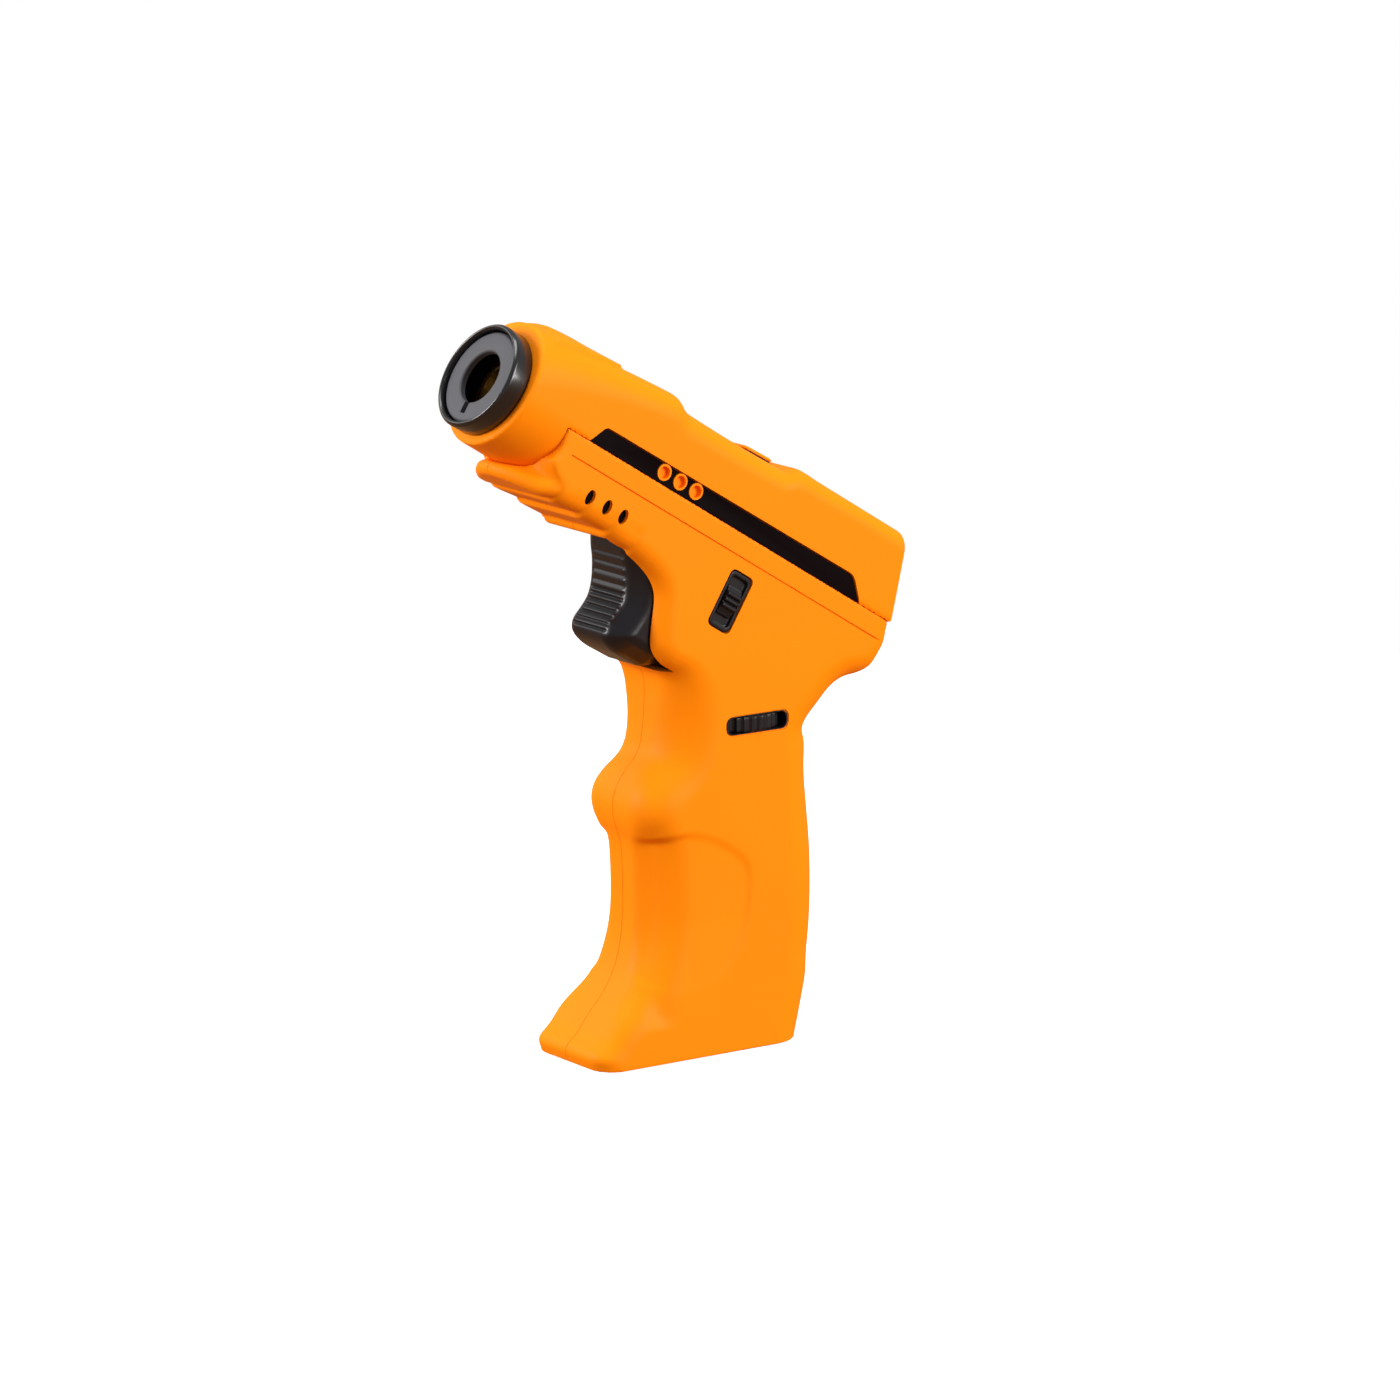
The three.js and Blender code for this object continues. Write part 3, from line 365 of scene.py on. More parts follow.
def lathe(name, profile, sides=128, place=(0.0, 0.0)):
    """A turned piece about a line along the barrel. The profile is (radius, distance back)."""
    points = []
    for k in range(sides):
        angle = 2 * math.pi * k / sides
        for radius, s in profile:
            x, z = from_barrel(s, place[1] + radius * math.cos(angle))
            points.append((x, place[0] + radius * math.sin(angle), z))
    n = len(profile)
    faces = []
    for k in range(sides):
        for i in range(n):
            a, b = k * n + i, k * n + (i + 1) % n
            c, d = ((k + 1) % sides) * n + (i + 1) % n, ((k + 1) % sides) * n + i
            faces.append((a, b, c, d))
    return mesh_object(name, points, faces)


def rounded(corners, radius, steps=4):
    """A closed profile with its corners rounded."""
    corners = [np.array(c, float) for c in corners]
    out = []
    for i, corner in enumerate(corners):
        before, after = corners[i - 1] - corner, corners[(i + 1) % len(corners)] - corner
        r = radius[i] if isinstance(radius, (list, tuple)) else radius
        r = min(r, np.linalg.norm(before) * 0.45, np.linalg.norm(after) * 0.45)
        if r <= 0:
            out.append(tuple(corner))
            continue
        a = corner + before / np.linalg.norm(before) * r
        b = corner + after / np.linalg.norm(after) * r
        for t in np.linspace(0, 1, steps):
            out.append(tuple((1 - t) ** 2 * a + 2 * t * (1 - t) * corner + t ** 2 * b))
    return out


def rounded_rect(cu, cv, half_u, half_v, radius, steps=7):
    return rounded([(cu - half_u, cv - half_v), (cu + half_u, cv - half_v),
                    (cu + half_u, cv + half_v), (cu - half_u, cv + half_v)], radius, steps)


def ellipse(cu, cv, ru, rv, sides=28):
    turns = [2 * math.pi * k / sides for k in range(sides)]
    return [(cu + ru * math.cos(turn), cv + rv * math.sin(turn)) for turn in turns]


# ------------------------------------------------------------------ materials

def material(name, color, roughness, *, metallic=0.0, grain=0.0, grain_size=0.4, mottle=0.03,
             rough_spread=0.06, coat=0.0, streaks=False, ior=1.46, specular=0.5):
    """A moulded or finished surface: slow colour drift, roughness drift and a fine grain."""
    made = bpy.data.materials.new(name)
    made.use_nodes = True
    nodes, links = made.node_tree.nodes, made.node_tree.links
    shader = nodes["Principled BSDF"]
    where = nodes.new("ShaderNodeTexCoord")
    shader.inputs["Metallic"].default_value = metallic
    shader.inputs["IOR"].default_value = ior
    shader.inputs["Specular IOR Level"].default_value = specular
    shader.inputs["Coat Weight"].default_value = coat
    shader.inputs["Coat Roughness"].default_value = 0.08

    def noise(scale, detail=3.0, stretch=None):
        texture = nodes.new("ShaderNodeTexNoise")
        texture.inputs["Scale"].default_value = scale
        texture.inputs["Detail"].default_value = detail
        source = where.outputs["Object"]
        if stretch:
            mapping = nodes.new("ShaderNodeMapping")
            mapping.inputs["Scale"].default_value = stretch
            links.new(source, mapping.inputs["Vector"])
            source = mapping.outputs["Vector"]
        links.new(source, texture.inputs["Vector"])
        return texture

    drift = noise(35, 4)
    ramp = nodes.new("ShaderNodeValToRGB")
    ramp.color_ramp.elements[0].position = 0.3
    ramp.color_ramp.elements[1].position = 0.7
    dark = [c * (1 - mottle) for c in color]
    light = [min(1.0, c * (1 + mottle)) for c in color]
    ramp.color_ramp.elements[0].color = (*dark, 1)
    ramp.color_ramp.elements[1].color = (*light, 1)
    links.new(drift.outputs["Fac"], ramp.inputs["Fac"])
    links.new(ramp.outputs["Color"], shader.inputs["Base Color"])

    rub = noise(120, 5, (1, 1, 14) if streaks else None)
    spread_map = nodes.new("ShaderNodeMapRange")
    spread_map.inputs["To Min"].default_value = max(0.02, roughness - rough_spread)
    spread_map.inputs["To Max"].default_value = roughness + rough_spread
    links.new(rub.outputs["Fac"], spread_map.inputs["Value"])
    links.new(spread_map.outputs["Result"], shader.inputs["Roughness"])

    if grain:
        fine = noise(1000 / grain_size, 2, (1, 1, 10) if streaks else None)
        bump = nodes.new("ShaderNodeBump")
        bump.inputs["Strength"].default_value = grain
        bump.inputs["Distance"].default_value = 0.00005
        links.new(fine.outputs["Fac"], bump.inputs["Height"])
        links.new(bump.outputs["Normal"], shader.inputs["Normal"])
    return made


ORANGE = material("orange_plastic", (1.0, 0.262, 0.0015), 0.5, grain=0.35, grain_size=0.35,
                  mottle=0.015, specular=0.1)
BLACK = material("black_plastic", (0.009, 0.008, 0.010), 0.42, grain=0.4, grain_size=0.35,
                 specular=0.3)
TRIGGER = material("trigger_plastic", (0.006, 0.0055, 0.008), 0.3, grain=0.3, grain_size=0.3,
                   specular=0.42)
STRIP = material("strip_plastic", (0.0035, 0.0012, 0.0015), 0.62, grain=0.5, grain_size=0.3,
                 specular=0.04)
GLOSS = material("gloss_black", (0.004, 0.004, 0.005), 0.22, coat=0.15, rough_spread=0.04,
                 specular=0.7)
DISC = material("disc_plastic", (0.064, 0.066, 0.076), 0.58, grain=0.6, grain_size=0.3,
                mottle=0.05)
GREY = material("grey_plastic", (0.10, 0.10, 0.11), 0.5, grain=0.4)
BRASS = material("brass", (0.46, 0.31, 0.10), 0.32, metallic=1.0, streaks=True, grain=0.15)
STEEL = material("steel", (0.55, 0.56, 0.58), 0.3, metallic=1.0, streaks=True, grain=0.15)
LENS = material("lens_glass", (0.05, 0.055, 0.07), 0.06, coat=1.0, rough_spread=0.02, ior=1.6)
WINDOW = material("clear_window", (0.035, 0.045, 0.05), 0.07, coat=1.0, rough_spread=0.02)
LCD = material("display_glass", (0.21, 0.25, 0.19), 0.3, rough_spread=0.05)
BOARD = material("circuit_board", (0.012, 0.10, 0.035), 0.38, grain=0.5, grain_size=0.8,
                 mottle=0.15)
SLEEVE = material("cell_sleeve", (0.03, 0.08, 0.33), 0.3, coat=0.4)
RED = material("red_lead", (0.46, 0.022, 0.015), 0.45, grain=0.3)
BLACK_LEAD = material("black_lead", (0.012, 0.012, 0.013), 0.45, grain=0.3)

BY_SLOT = {
    "orange_plastic": ORANGE, "black_plastic": BLACK, "gloss_black": GLOSS, "grey_plastic": GREY,
    "brass": BRASS, "steel": STEEL, "lens_glass": LENS, "clear_window": WINDOW,
    "display_glass": LCD, "circuit_board": BOARD, "cell_sleeve": SLEEVE, "red_lead": RED,
    "black_lead": BLACK_LEAD,
}
for entry in frame["record"]["subparts"]:
    node = frame["nodes"][entry["node"]]
    node.data.materials.clear()
    node.data.materials.append(BY_SLOT[entry["material_slot"]])

# The photograph shows no dark edge along the base.
for name in ("base_plate", "battery_hatch"):
    frame["nodes"][name].data.materials[0] = ORANGE


def finished(obj, mat, slot, body, *nodes):
    """Gives a piece its material and its body, and hides the CAD nodes that it stands for. The
    slot argument is not used.
    """
    obj.data.materials.clear()
    obj.data.materials.append(mat)
    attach(obj, body)
    if nodes:
        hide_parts(*nodes)
    return obj


# ------------------------------------------------------------------ body

GRIP_FRONT = spline(device([
    (29.8, 0.6), (30.6, 2.2), (30.1, 4.2), (27.0, 7.0), (24.2, 10.6), (20.4, 14.8),
    (17.8, 18.6), (16.0, 22.8), (14.7, 28.5), (14.2, 36), (14.3, 45), (14.9, 51.3),
    (16.6, 56.2), (17.0, 60.4), (16.0, 64.2), (13.6, 67.8), (9.8, 72), (8.5, 77.5),
    (8.0, 84.5), (8.0, 88.5), (8.9, 91.6), (12.4, 94.6), (14.9, 99), (14.6, 104), (13.9, 108.5),
    (13.7, 112.0),
    (15.0, 115.4), (17.8, 118.8), (21.0, 121.7),
]) + barrel_points([(46.6, UNDERSIDE - 1.3), (41, UNDERSIDE - 0.4), (33, UNDERSIDE),
                    (25, UNDERSIDE)]), 6)
REAR = spline(barrel_points([
    (COVER_LENGTH + 0.4, 4), (COVER_LENGTH + 0.9, -2.1), (129.4, -6.2), (129.4, -9.8),
    (128.9, -13.4), (126.9, -16.1), (124.1, -18.8), (122.4, -22.3), (121.6, -27.0),
    (121.0, -32.5),
]) + device([
    (-32.6, 71.5), (-32.8, 64), (-33.9, 56), (-34.9, 46), (-35.0, 36.5), (-34.5, 26),
    (-32.9, 16.5), (-31.0, 9), (-29.6, 3.5), (-28.8, 0.6),
]), 6)
BODY_OUTLINE = np.vstack([
    device([(-28.4, -14), (28.8, -14)]), GRIP_FRONT,
    barrel_points([(5, UNDERSIDE), (-20, UNDERSIDE), (-20, 8), (COVER_LENGTH + 0.3, 8)]), REAR,
])
LOW, HIGH = (-66, -8), (66, 185)
BODY_MAP = Map(lambda u, v: outline_distance(BODY_OUTLINE, u, v), LOW, HIGH, 0.5, blur=0.7)
RADIUS_MAP = Map(spread([
    (30, 140, 4.5), (0, 125, 5), (-30, 108, 5), (-50, 92, 5.5), (16, 108, 5), (15, 98, 4.5),
    (12, 92, 6.5), (10, 85, 12.5), (9, 75, 13.5), (15, 61, 8.0), (13, 50, 10), (12, 38, 10),
    (13, 25, 9.5),
    (28, 6, 6), (-36, 84, 9), (-32, 72, 11), (-33, 50, 12), (-33, 30, 11.5), (-30, 5, 9),
    (30, 160, 4), (-10, 60, 10), (-10, 20, 9),
], 7), LOW, HIGH, 1.0)
HALF_MAP = Map(spread([
    (30, 140, 15.5), (0, 120, 15.5), (-30, 105, 15.5), (-45, 95, 15.5), (0, 100, 15.4),
    (-20, 92, 15.3), (0, 80, 15.0), (-22, 78, 15.0), (5, 62, 15.0), (-20, 58, 14.9),
    (0, 45, 14.7), (-22, 40, 14.8), (0, 25, 14.9), (-20, 20, 14.9), (10, 5, 15.5),
    (-20, 4, 15.4), (30, 160, 15.5),
], 10), LOW, HIGH, 1.0)

PALM = spline(device([
    (23.1, 58.4), (18.9, 55.9), (14.7, 53.4), (10.3, 54.2), (5.0, 54.8), (-1.0, 53.2),
    (-5.7, 50.9), (-10.4, 47.4), (-12.6, 43.9), (-12.9, 38), (-11, 28), (-4, 18), (10, 16),
    (20, 22), (26, 40), (25, 55), (23.1, 58.4),
]), 4)
PALM_MAP = Map(lambda u, v: outline_distance(PALM, u, v), (-40, 5), (45, 75), 0.5, blur=0.5)

AHEAD = np.array([
    (-40, 30), (TUBE_LENGTH, 30), (TUBE_LENGTH, SPLIT), (19.6, -6.2), (19.3, -9), (18.2, -11.6),
    (16.9, -13.6), (14.6, -15.1), (13.7, -15.7), (13.8, -17.2), (14.8, -18.8), (16.0, -30),
    (-40, -30),
])
AHEAD_MAP = Map(lambda u, v: outline_distance(AHEAD, u, v), (-30, -40), (60, 40), 0.5, blur=0.5)

RIDGE_PITCH = 8.6
RIDGE_START = 17.2


def body_field(x, y, z):
    r, half, d = RADIUS_MAP(x, z), HALF_MAP(x, z), BODY_MAP(x, z)
    side = np.abs(y)
    f = round_max(d, side - half, r)
    s, n = to_barrel(x, z)
    low = smoothstep(-10, -16, n)
    f = round_max(f, -AHEAD_MAP(s - low * 0.04 * side ** 2, n), 1.1)
    wave = ((s - RIDGE_START) / RIDGE_PITCH) % 1
    wave = wave ** 1.4 * smoothstep(1.0, 0.84, wave)
    where = smoothstep(22.5, 25, s) * smoothstep(52, 49, s) * smoothstep(-12.5, -15.5, n)
    f = f + 1.2 * wave * where * (1 - smoothstep(9, 14.6, side) * 0.5)
    dip = smoothstep(0.3, -2.2, PALM_MAP(x, z)) * smoothstep(4, 9, side)
    depth = smoothstep(14, 34, z) * (0.55 + 1.1 * smoothstep(0, 13, x))
    valley = np.exp(-((x - 12.8) / 3.2) ** 2) * smoothstep(8, 12, z) * smoothstep(60, 50, z)
    return f + dip * depth + 0.75 * valley * smoothstep(6, 11, side)


CRADLE = TUBE_RADIUS + 0.15


def tube_end(n):
    """How far back the cover's tube reaches, further where the body's front edge recedes."""
    return TUBE_LENGTH + 0.5 + 3.4 * smoothstep(-2.6, -6.5, n)


def body_solid(x, y, z):
    """The body filled, with the tube's cradle and a rounded base."""
    f = body_field(x, y, z)
    s, n = to_barrel(x, z)
    tube = np.maximum(np.hypot(y, n) - CRADLE, s - tube_end(n) - 0.2)
    f = round_max(f, -tube, 0.4)
    f = round_max(f, -z + 0.02, 0.45)
    return round_max(f, n - SPLIT + 0.1, 0.25)


def cavity(x, y, z):
    f = body_field(x, y, z) + WALL
    s, n = to_barrel(x, z)
    return np.maximum(f, np.maximum(n - 3, -2 - z))


SHELL_STEP, CAVITY_STEP = 0.62, 1.6
body = sculpted("body_full", body_solid, (-62, -17, -1.5), (60, 17, 166), SHELL_STEP)
boolean(body, sculpted("cavity", cavity, (-60, -15, -4), (50, 15, 166), CAVITY_STEP, 2))

SIDES = ((1, "left"), (-1, "right"))
THROUGH = 30  # beyond the outside on either side
VENTS = (32.7, 38.1, 43.3)
VENT_N = -13.3
VENT_HALF_S, VENT_HALF_N = 1.2, 1.85
VENT_GAP = 0.04
for back in VENTS:
    hole = ellipse(back, VENT_N, VENT_HALF_S, VENT_HALF_N)
    boolean(body, prism(hole, -THROUGH, THROUGH, barrel=True))
# Painted shade: a black sheet behind the vents, with plugs up into the holes, makes the holes
# dark like the shade inside the body.
for side, name in SIDES:
    vent_shade = prism(rounded_rect(38, VENT_N, 8.5, 2.6, 1), side * 11.6, side * 12.8, barrel=True)
    for back in VENTS:
        shade_plug = ellipse(back, VENT_N, VENT_HALF_S - VENT_GAP, VENT_HALF_N - VENT_GAP)
        boolean(vent_shade, prism(shade_plug, side * 12.2, side * 14.45, barrel=True), "UNION")
    vent_shade.name = name + "_vent_shade"
    finished(vent_shade, STRIP, "black_plastic", "body")

trigger_x, _, trigger_z = joint_place("trigger_pull")
SLOT_HALF = 12.0
SLOT = rounded([(-3.4, 92.7), (40, 92.7), (40, 122), (22, 127.6), (-3.4, 127.6)], 0.8)
boolean(body, prism(SLOT, -SLOT_HALF, SLOT_HALF))

slider_low, slider_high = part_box("slider_frame")
SLIDER_S, SLIDER_N = to_barrel((slider_low.x + slider_high.x) / 2 / MM,
                               (slider_low.z + slider_high.z) / 2 / MM)
boolean(body, prism(rounded_rect(SLIDER_S, SLIDER_N, 3.65, 7.25, 1.7), 5, THROUGH, barrel=True))
wheel_x, wheel_y, wheel_z = joint_place("dial_turn")
boolean(body, prism(rounded_rect(wheel_x, wheel_z, 8.7, 2.2, 2.18, 12), 5, THROUGH))
boolean(body, prism(rounded_rect(wheel_x, wheel_z, 9.0, 2.5, 2.48, 12), 14.75, THROUGH))

GROOVE_START, GROOVE_END = 22.9, 126
GROOVE_N = -7.2
GROOVE = rounded_rect((GROOVE_START + GROOVE_END) / 2, GROOVE_N, (GROOVE_END - GROOVE_START) / 2,
                      0.22, 0.2, 3)
for side in (-1, 1):
    boolean(body, prism(GROOVE, side * 15.12, side * 20, barrel=True))

SCREWS = 5
SCREW_HOLE = 2.7
for number in range(1, SCREWS + 1):
    low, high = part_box(f"shell_screw_{number}")
    cx, cz = (low.x + high.x) / 2 / MM, (low.z + high.z) / 2 / MM
    boolean(body, prism(ellipse(cx, cz, SCREW_HOLE, SCREW_HOLE, 32), -THROUGH, -12.4))

right = copy_of(body, "right_body")
SEAM = 0.07
TONGUE_DEPTH = 0.45


def tongue_field(x, y, z):
    """What closes the seam just under the surface."""
    f = np.maximum(body_solid(x, y, z) + TONGUE_DEPTH, -body_field(x, y, z) - WALL)
    return np.maximum(f, np.abs(y) - 1.5)


tongue = sculpted("seam_tongue", tongue_field, (-62, -2.6, -1.5), (60, 2.6, 166), 0.7, 2)
boolean(tongue, prism(SLOT, -SLOT_HALF, SLOT_HALF))
boolean(tongue, slab(-SEAM + 0.005, SEAM - 0.005), "INTERSECT")
finished(tongue, ORANGE, "orange_plastic", "body")
boolean(body, slab(SEAM, THROUGH), "INTERSECT")
boolean(right, slab(-THROUGH, -SEAM), "INTERSECT")

# The right shell's opening is wider than the CAD's, so that it doesn't show beside the trigger.
RELIEF = device([(9.8, 100), (9.9, 113), (10.4, 117), (11.2, 121), (13.5, 125), (17, 127.9),
                 (45, 127.9), (45, 100)])
boolean(right, prism(rounded(RELIEF, 1.2), -THROUGH, -SLOT_HALF + 0.05))
SHELL_ANGLE = 38
for shell, (_, name) in zip((body, right), SIDES):
    shell.name = name + "_body"
    shell.data.shade_smooth()
    sharpen(shell, SHELL_ANGLE)
    finished(shell, ORANGE, "orange_plastic", "body", name + "_shell")

# ------------------------------------------------------------------ cover

TOP = curve_of([(0, 13.8), (3, 15.1), (6.2, 16.2), (9, 16.8), (12, 17.1), (16, 17.2), (20, 17.1),
                (28, 17.2), (32, 17.5), (40, 18.0), (44.8, 18.2), (46.8, 17.7), (48.8, 16.6),
                (51, 16.1), (60, 15.9), (68, 15.9), (74, 16.0), (80, 16.2), (82.0, 16.4),
                (83.6, 17.5), (85.4, 18.4), (89, 18.5), (94, 18.35), (118, 18.3), (140, 18.3)])
CORNER = curve_of([(0, 15), (6.2, 14.6), (12, 13.2), (20, 10.5), (30, 8), (47, 6.2), (60, 5.6),
                   (80, 5.2), (100, 4.4), (140, 4.2)])
PAD = rounded([(9.5, -10.2), (9.5, 10.2), (30.6, 10.2), (30.6, -10.2)], [0.1, 0.1, 5.5, 5.5], 6)
PAD_MAP = Map(lambda u, v: outline_distance(np.array(PAD), u, v), (-5, -20), (60, 20), 0.5,
              blur=0.3)


def cover_field(x, y, z):
    s, n = to_barrel(x, z)
    side = np.abs(y)
    top, r = TOP(s), CORNER(s)
    upper = round_max(side - COVER_HALF, n - top, r)
    squeeze = TUBE_RADIUS / COVER_HALF
    lower = np.hypot(side * squeeze, n) - TUBE_RADIUS
    f = np.where(n > 0, upper, lower)
    pad = smoothstep(0.4, -0.4, PAD_MAP(s, side)) * (n > 4)
    return f - 0.75 * pad


def rear_field(s, n):
    return (s - (COVER_LENGTH - REAR_SLOPE * (n - SPLIT))) / math.hypot(1, REAR_SLOPE)


def cover_solid(x, y, z):
    s, n = to_barrel(x, z)
    f = cover_field(x, y, z)
    f = round_max(f, 5.6 - s, 0.7)
    f = round_max(f, rear_field(s, n), 1.3)
    return round_max(f, np.minimum(s - tube_end(n), SPLIT + 0.1 - n), 0.1)


def cover_cavity(x, y, z):
    s, n = to_barrel(x, z)
    f = cover_field(x, y, z) + WALL
    f = np.maximum(f, rear_field(s, n) + WALL)
    return np.maximum(np.maximum(f, TUBE_LENGTH - 1 - s), SPLIT - 3 - n)


cover = sculpted("barrel_cover", cover_solid, (-62, -17, 94), (60, 17, 180), SHELL_STEP)
boolean(cover, sculpted("cavity", cover_cavity, (-60, -15, 90), (50, 15, 178), CAVITY_STEP, 2))
BORE = [(0.01, 2.0), (12.5, 2.0), (12.5, 24.0), (0.01, 24.0)]
boolean(cover, lathe("cutter", BORE, 96))

CUPS = (48.7, 53.9, 59.1)
CUP_N = 0.65
CUP_SIDES = 40
RECESS = rounded([(25.4, SPLIT - 6), (25.9, SPLIT), (28.6, 2.7), (110.6, 3.2), (115.9, SPLIT),
                  (116.4, SPLIT - 6)], [0, 0, 1.0, 1.6, 0, 0])


def cup(back, radius, y0, y1):
    return prism(ellipse(back, CUP_N, radius, radius, CUP_SIDES), y0, y1, barrel=True)


for side in (-1, 1):
    boolean(cover, prism(RECESS, side * (COVER_HALF - 1.4), side * THROUGH, barrel=True))
    for back in CUPS:
        boolean(cover, cup(back, 1.95, side * (COVER_HALF - 2.0), side * (COVER_HALF - 0.2)),
                "UNION")
        boolean(cover, cup(back, 1.45, side * (COVER_HALF - 1.5), side * THROUGH))

BUTTON_S = 79.0
BUTTON_HALF_S, BUTTON_HALF_Y = 4.5, 3.7
BUTTON_GAP = 0.3
GAP_SHADE_TOP = 17.6
opening = rounded_rect(BUTTON_S, 0, BUTTON_HALF_S + BUTTON_GAP, BUTTON_HALF_Y + BUTTON_GAP, 1.5)
rings = [[(x, y, z) for s, y in opening for x, z in [from_barrel(s, n)]] for n in (10, 40)]
boolean(cover, extruded("cutter", *rings))

# The display sits in the sloping rear face, in a frame of its own.
window_low, window_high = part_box("lcd_window")
WINDOW_X = (window_low.x + window_high.x) / 2 / MM
WINDOW_Z = (window_low.z + window_high.z) / 2 / MM
LEAN = math.atan(REAR_SLOPE) - PITCH
UP = np.array([math.sin(LEAN), 0.0, math.cos(LEAN)])
OUT = np.array([-math.cos(LEAN), 0.0, math.sin(LEAN)])


def rear_prism(outline, d0, d1, name="cutter"):
    """An outline in the rear face (y, up), between two depths out of the window's middle."""
    middle = np.array([WINDOW_X, 0.0, WINDOW_Z])
    return extruded(name, *([middle + OUT * depth + UP * up + np.array([0, y, 0])
                             for y, up in outline] for depth in (d0, d1)))


boolean(cover, rear_prism(rounded_rect(0, 0, 11.8, 7.1, 1.2), -6, 8))
cover.data.shade_smooth()
sharpen(cover, SHELL_ANGLE)
finished(cover, ORANGE, "orange_plastic", "body", "top_cover")


# ------------------------------------------------------------------ side strips

def bevelled(obj, width):
    mod = obj.modifiers.new("edge", "BEVEL")
    mod.width = width * MM
    mod.segments = 2
    mod.limit_method = "ANGLE"
    mod.angle_limit = math.radians(30)
    apply_modifiers(obj)
    obj.data.shade_smooth()
    sharpen(obj, 40)


INLAY = rounded([(26.25, SPLIT + 0.2), (28.9, 2.4), (110.4, 2.9), (115.5, SPLIT + 0.2)],
                [0.2, 0.9, 1.5, 0.2])
for side, name in SIDES:
    strip = prism(INLAY, side * (COVER_HALF - 1.15), side * (COVER_HALF - 0.42), barrel=True)
    for back in CUPS:
        boolean(strip, cup(back, 2.1, -THROUGH, THROUGH))
    strip.name = name + "_inlay"
    bevelled(strip, 0.12)
    finished(strip, STRIP, "black_plastic", "body", name + "_strip")

# ------------------------------------------------------------------ muzzle

bezel = lathe("bezel", rounded([
    (11.7, 0.5), (12.05, 0.02), (12.45, 0.02), (12.98, 0.65), (12.98, 5.1), (12.1, 5.1),
    (12.1, 9.0), (9.8, 9.0), (9.8, 3.0), (11.7, 3.0),
], [0.2, 0.2, 0.2, 0.25, 0.15, 0, 0, 0, 0, 0.1], 5), 160)
sharpen(bezel, 50)
finished(bezel, GLOSS, "gloss_black", "body", "bezel_ring")

plate = lathe("front_plate", rounded([
    (6.4, 2.7), (6.4, 1.45), (6.75, 1.1), (10.9, 1.1), (11.3, 1.5), (11.3, 2.7),
], [0, 0.1, 0.15, 0.2, 0.1, 0], 4), 160)
boolean(plate, prism([(-1, 0.5), (6, 0.5), (6, -9.3), (-1, -9.3)], -0.9, 0.9, barrel=True))
sharpen(plate, 35)
finished(plate, DISC, "grey_plastic", "body", "aperture_disc")

# ------------------------------------------------------------------ trigger

TRIGGER_HALF = 11.5
TRIGGER_PROFILE = np.vstack([spline([
    (17.0, 126.4), (17.1, 121.5), (16.7, 117.5), (16.9, 113), (17.8, 109.6), (19.7, 107),
    (21.6, 104.9), (22.5, 102.6), (21.9, 100.4), (19.5, 98.0), (16.0, 95.9), (12.6, 93.9),
], 8), [(6.4, 93.7), (6.2, 110), (6.0, 126.6)]])
TRIGGER_MAP = Map(lambda u, v: outline_distance(TRIGGER_PROFILE, u, v), (0, 86), (30, 134), 0.25,
                  blur=0.3)
FINE_START, FINE_PITCH = 102.9, 1.32
BROAD_START, BROAD_PITCH = 112.14, 2.35
PIN_HOLE = 1.8


def trigger_field(x, y, z):
    side = np.abs(y)
    d = TRIGGER_MAP(x, z)
    bevel = (4.0 * (side - 7.0) + 4.5 * d) / math.hypot(4.0, 4.5)
    f = round_max(round_max(d, side - TRIGGER_HALF, 0.8), bevel, 1.0)
    fine = 0.5 + 0.5 * np.cos(2 * math.pi * (z - FINE_START) / FINE_PITCH)
    broad = 0.5 + 0.5 * np.cos(2 * math.pi * (z - BROAD_START) / BROAD_PITCH)
    fine_zone = smoothstep(FINE_START - 0.3, FINE_START + 0.3, z) * (z < BROAD_START)
    broad_zone = (z >= BROAD_START) * smoothstep(121.6, 120.8, z)
    across = 1 - smoothstep(6.0, 7.2, side)
    front = smoothstep(-2.2, -0.6, d)
    grooves = 0.5 * (1 - fine ** 0.8) * fine_zone + 0.42 * (1 - broad ** 0.6) * broad_zone
    f = f + grooves * across * front
    pin = np.hypot(x - trigger_x, z - trigger_z)
    boss = np.maximum(pin - 3.5, side - 8.5)
    f = round_min(f, boss, 0.3)
    return np.maximum(f, PIN_HOLE - pin)


trigger = sculpted("trigger_lever", trigger_field, (2, -12.5, 92), (26, 12.5, 131), 0.26)
spring_low, spring_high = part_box("trigger_spring")
SPRING_ROOM = 0.9
SPRING_SWEEP = 2.2  # room above and below, which the spring needs as the trigger turns
bottom, top = spring_low.z / MM - SPRING_SWEEP, spring_high.z / MM + SPRING_SWEEP
boolean(trigger, prism(rounded([(4, bottom), (9.4, bottom), (9.4, top), (4, top)], 0.8),
                       spring_low.y / MM - SPRING_ROOM, spring_high.y / MM + SPRING_ROOM))
sharpen(trigger, 50)
finished(trigger, TRIGGER, "black_plastic", "trigger", "trigger")

# ------------------------------------------------------------------ slider

SLIDER_FLOOR = 14.3


def slider_local(x, z):
    s, n = to_barrel(x, z)
    return s - SLIDER_S, n - SLIDER_N


def slider_frame_field(x, y, z):
    u, v = slider_local(x, z)
    outer = round_max(np.abs(u) - 3.35, np.abs(v) - 6.95, 1.5)
    inner = round_max(np.abs(u) - 2.55, np.abs(v) - 5.9, 0.9)
    f = round_max(outer, y - 15.35, 0.25)
    f = np.maximum(f, 13.1 - y)
    return round_max(f, -np.maximum(inner, SLIDER_FLOOR - y), 0.2)


def slider_knob_field(x, y, z):
    u, v = slider_local(x, z)
    f = round_max(np.abs(u) - 2.25, np.abs(v) - 3.6, 0.5)
    dish = 0.55 * smoothstep(1.9, 3.4, np.abs(v))
    top = 15.55 - dish
    ridge = 0.0
    for centre in (-1.45, 0.0, 1.45):
        ridge = np.maximum(ridge, smoothstep(0.62, 0.3, np.abs(v - centre)))
    f = round_max(f, y - top - 0.8 * ridge, 0.15)
    return np.maximum(f, SLIDER_FLOOR + 0.06 - y)


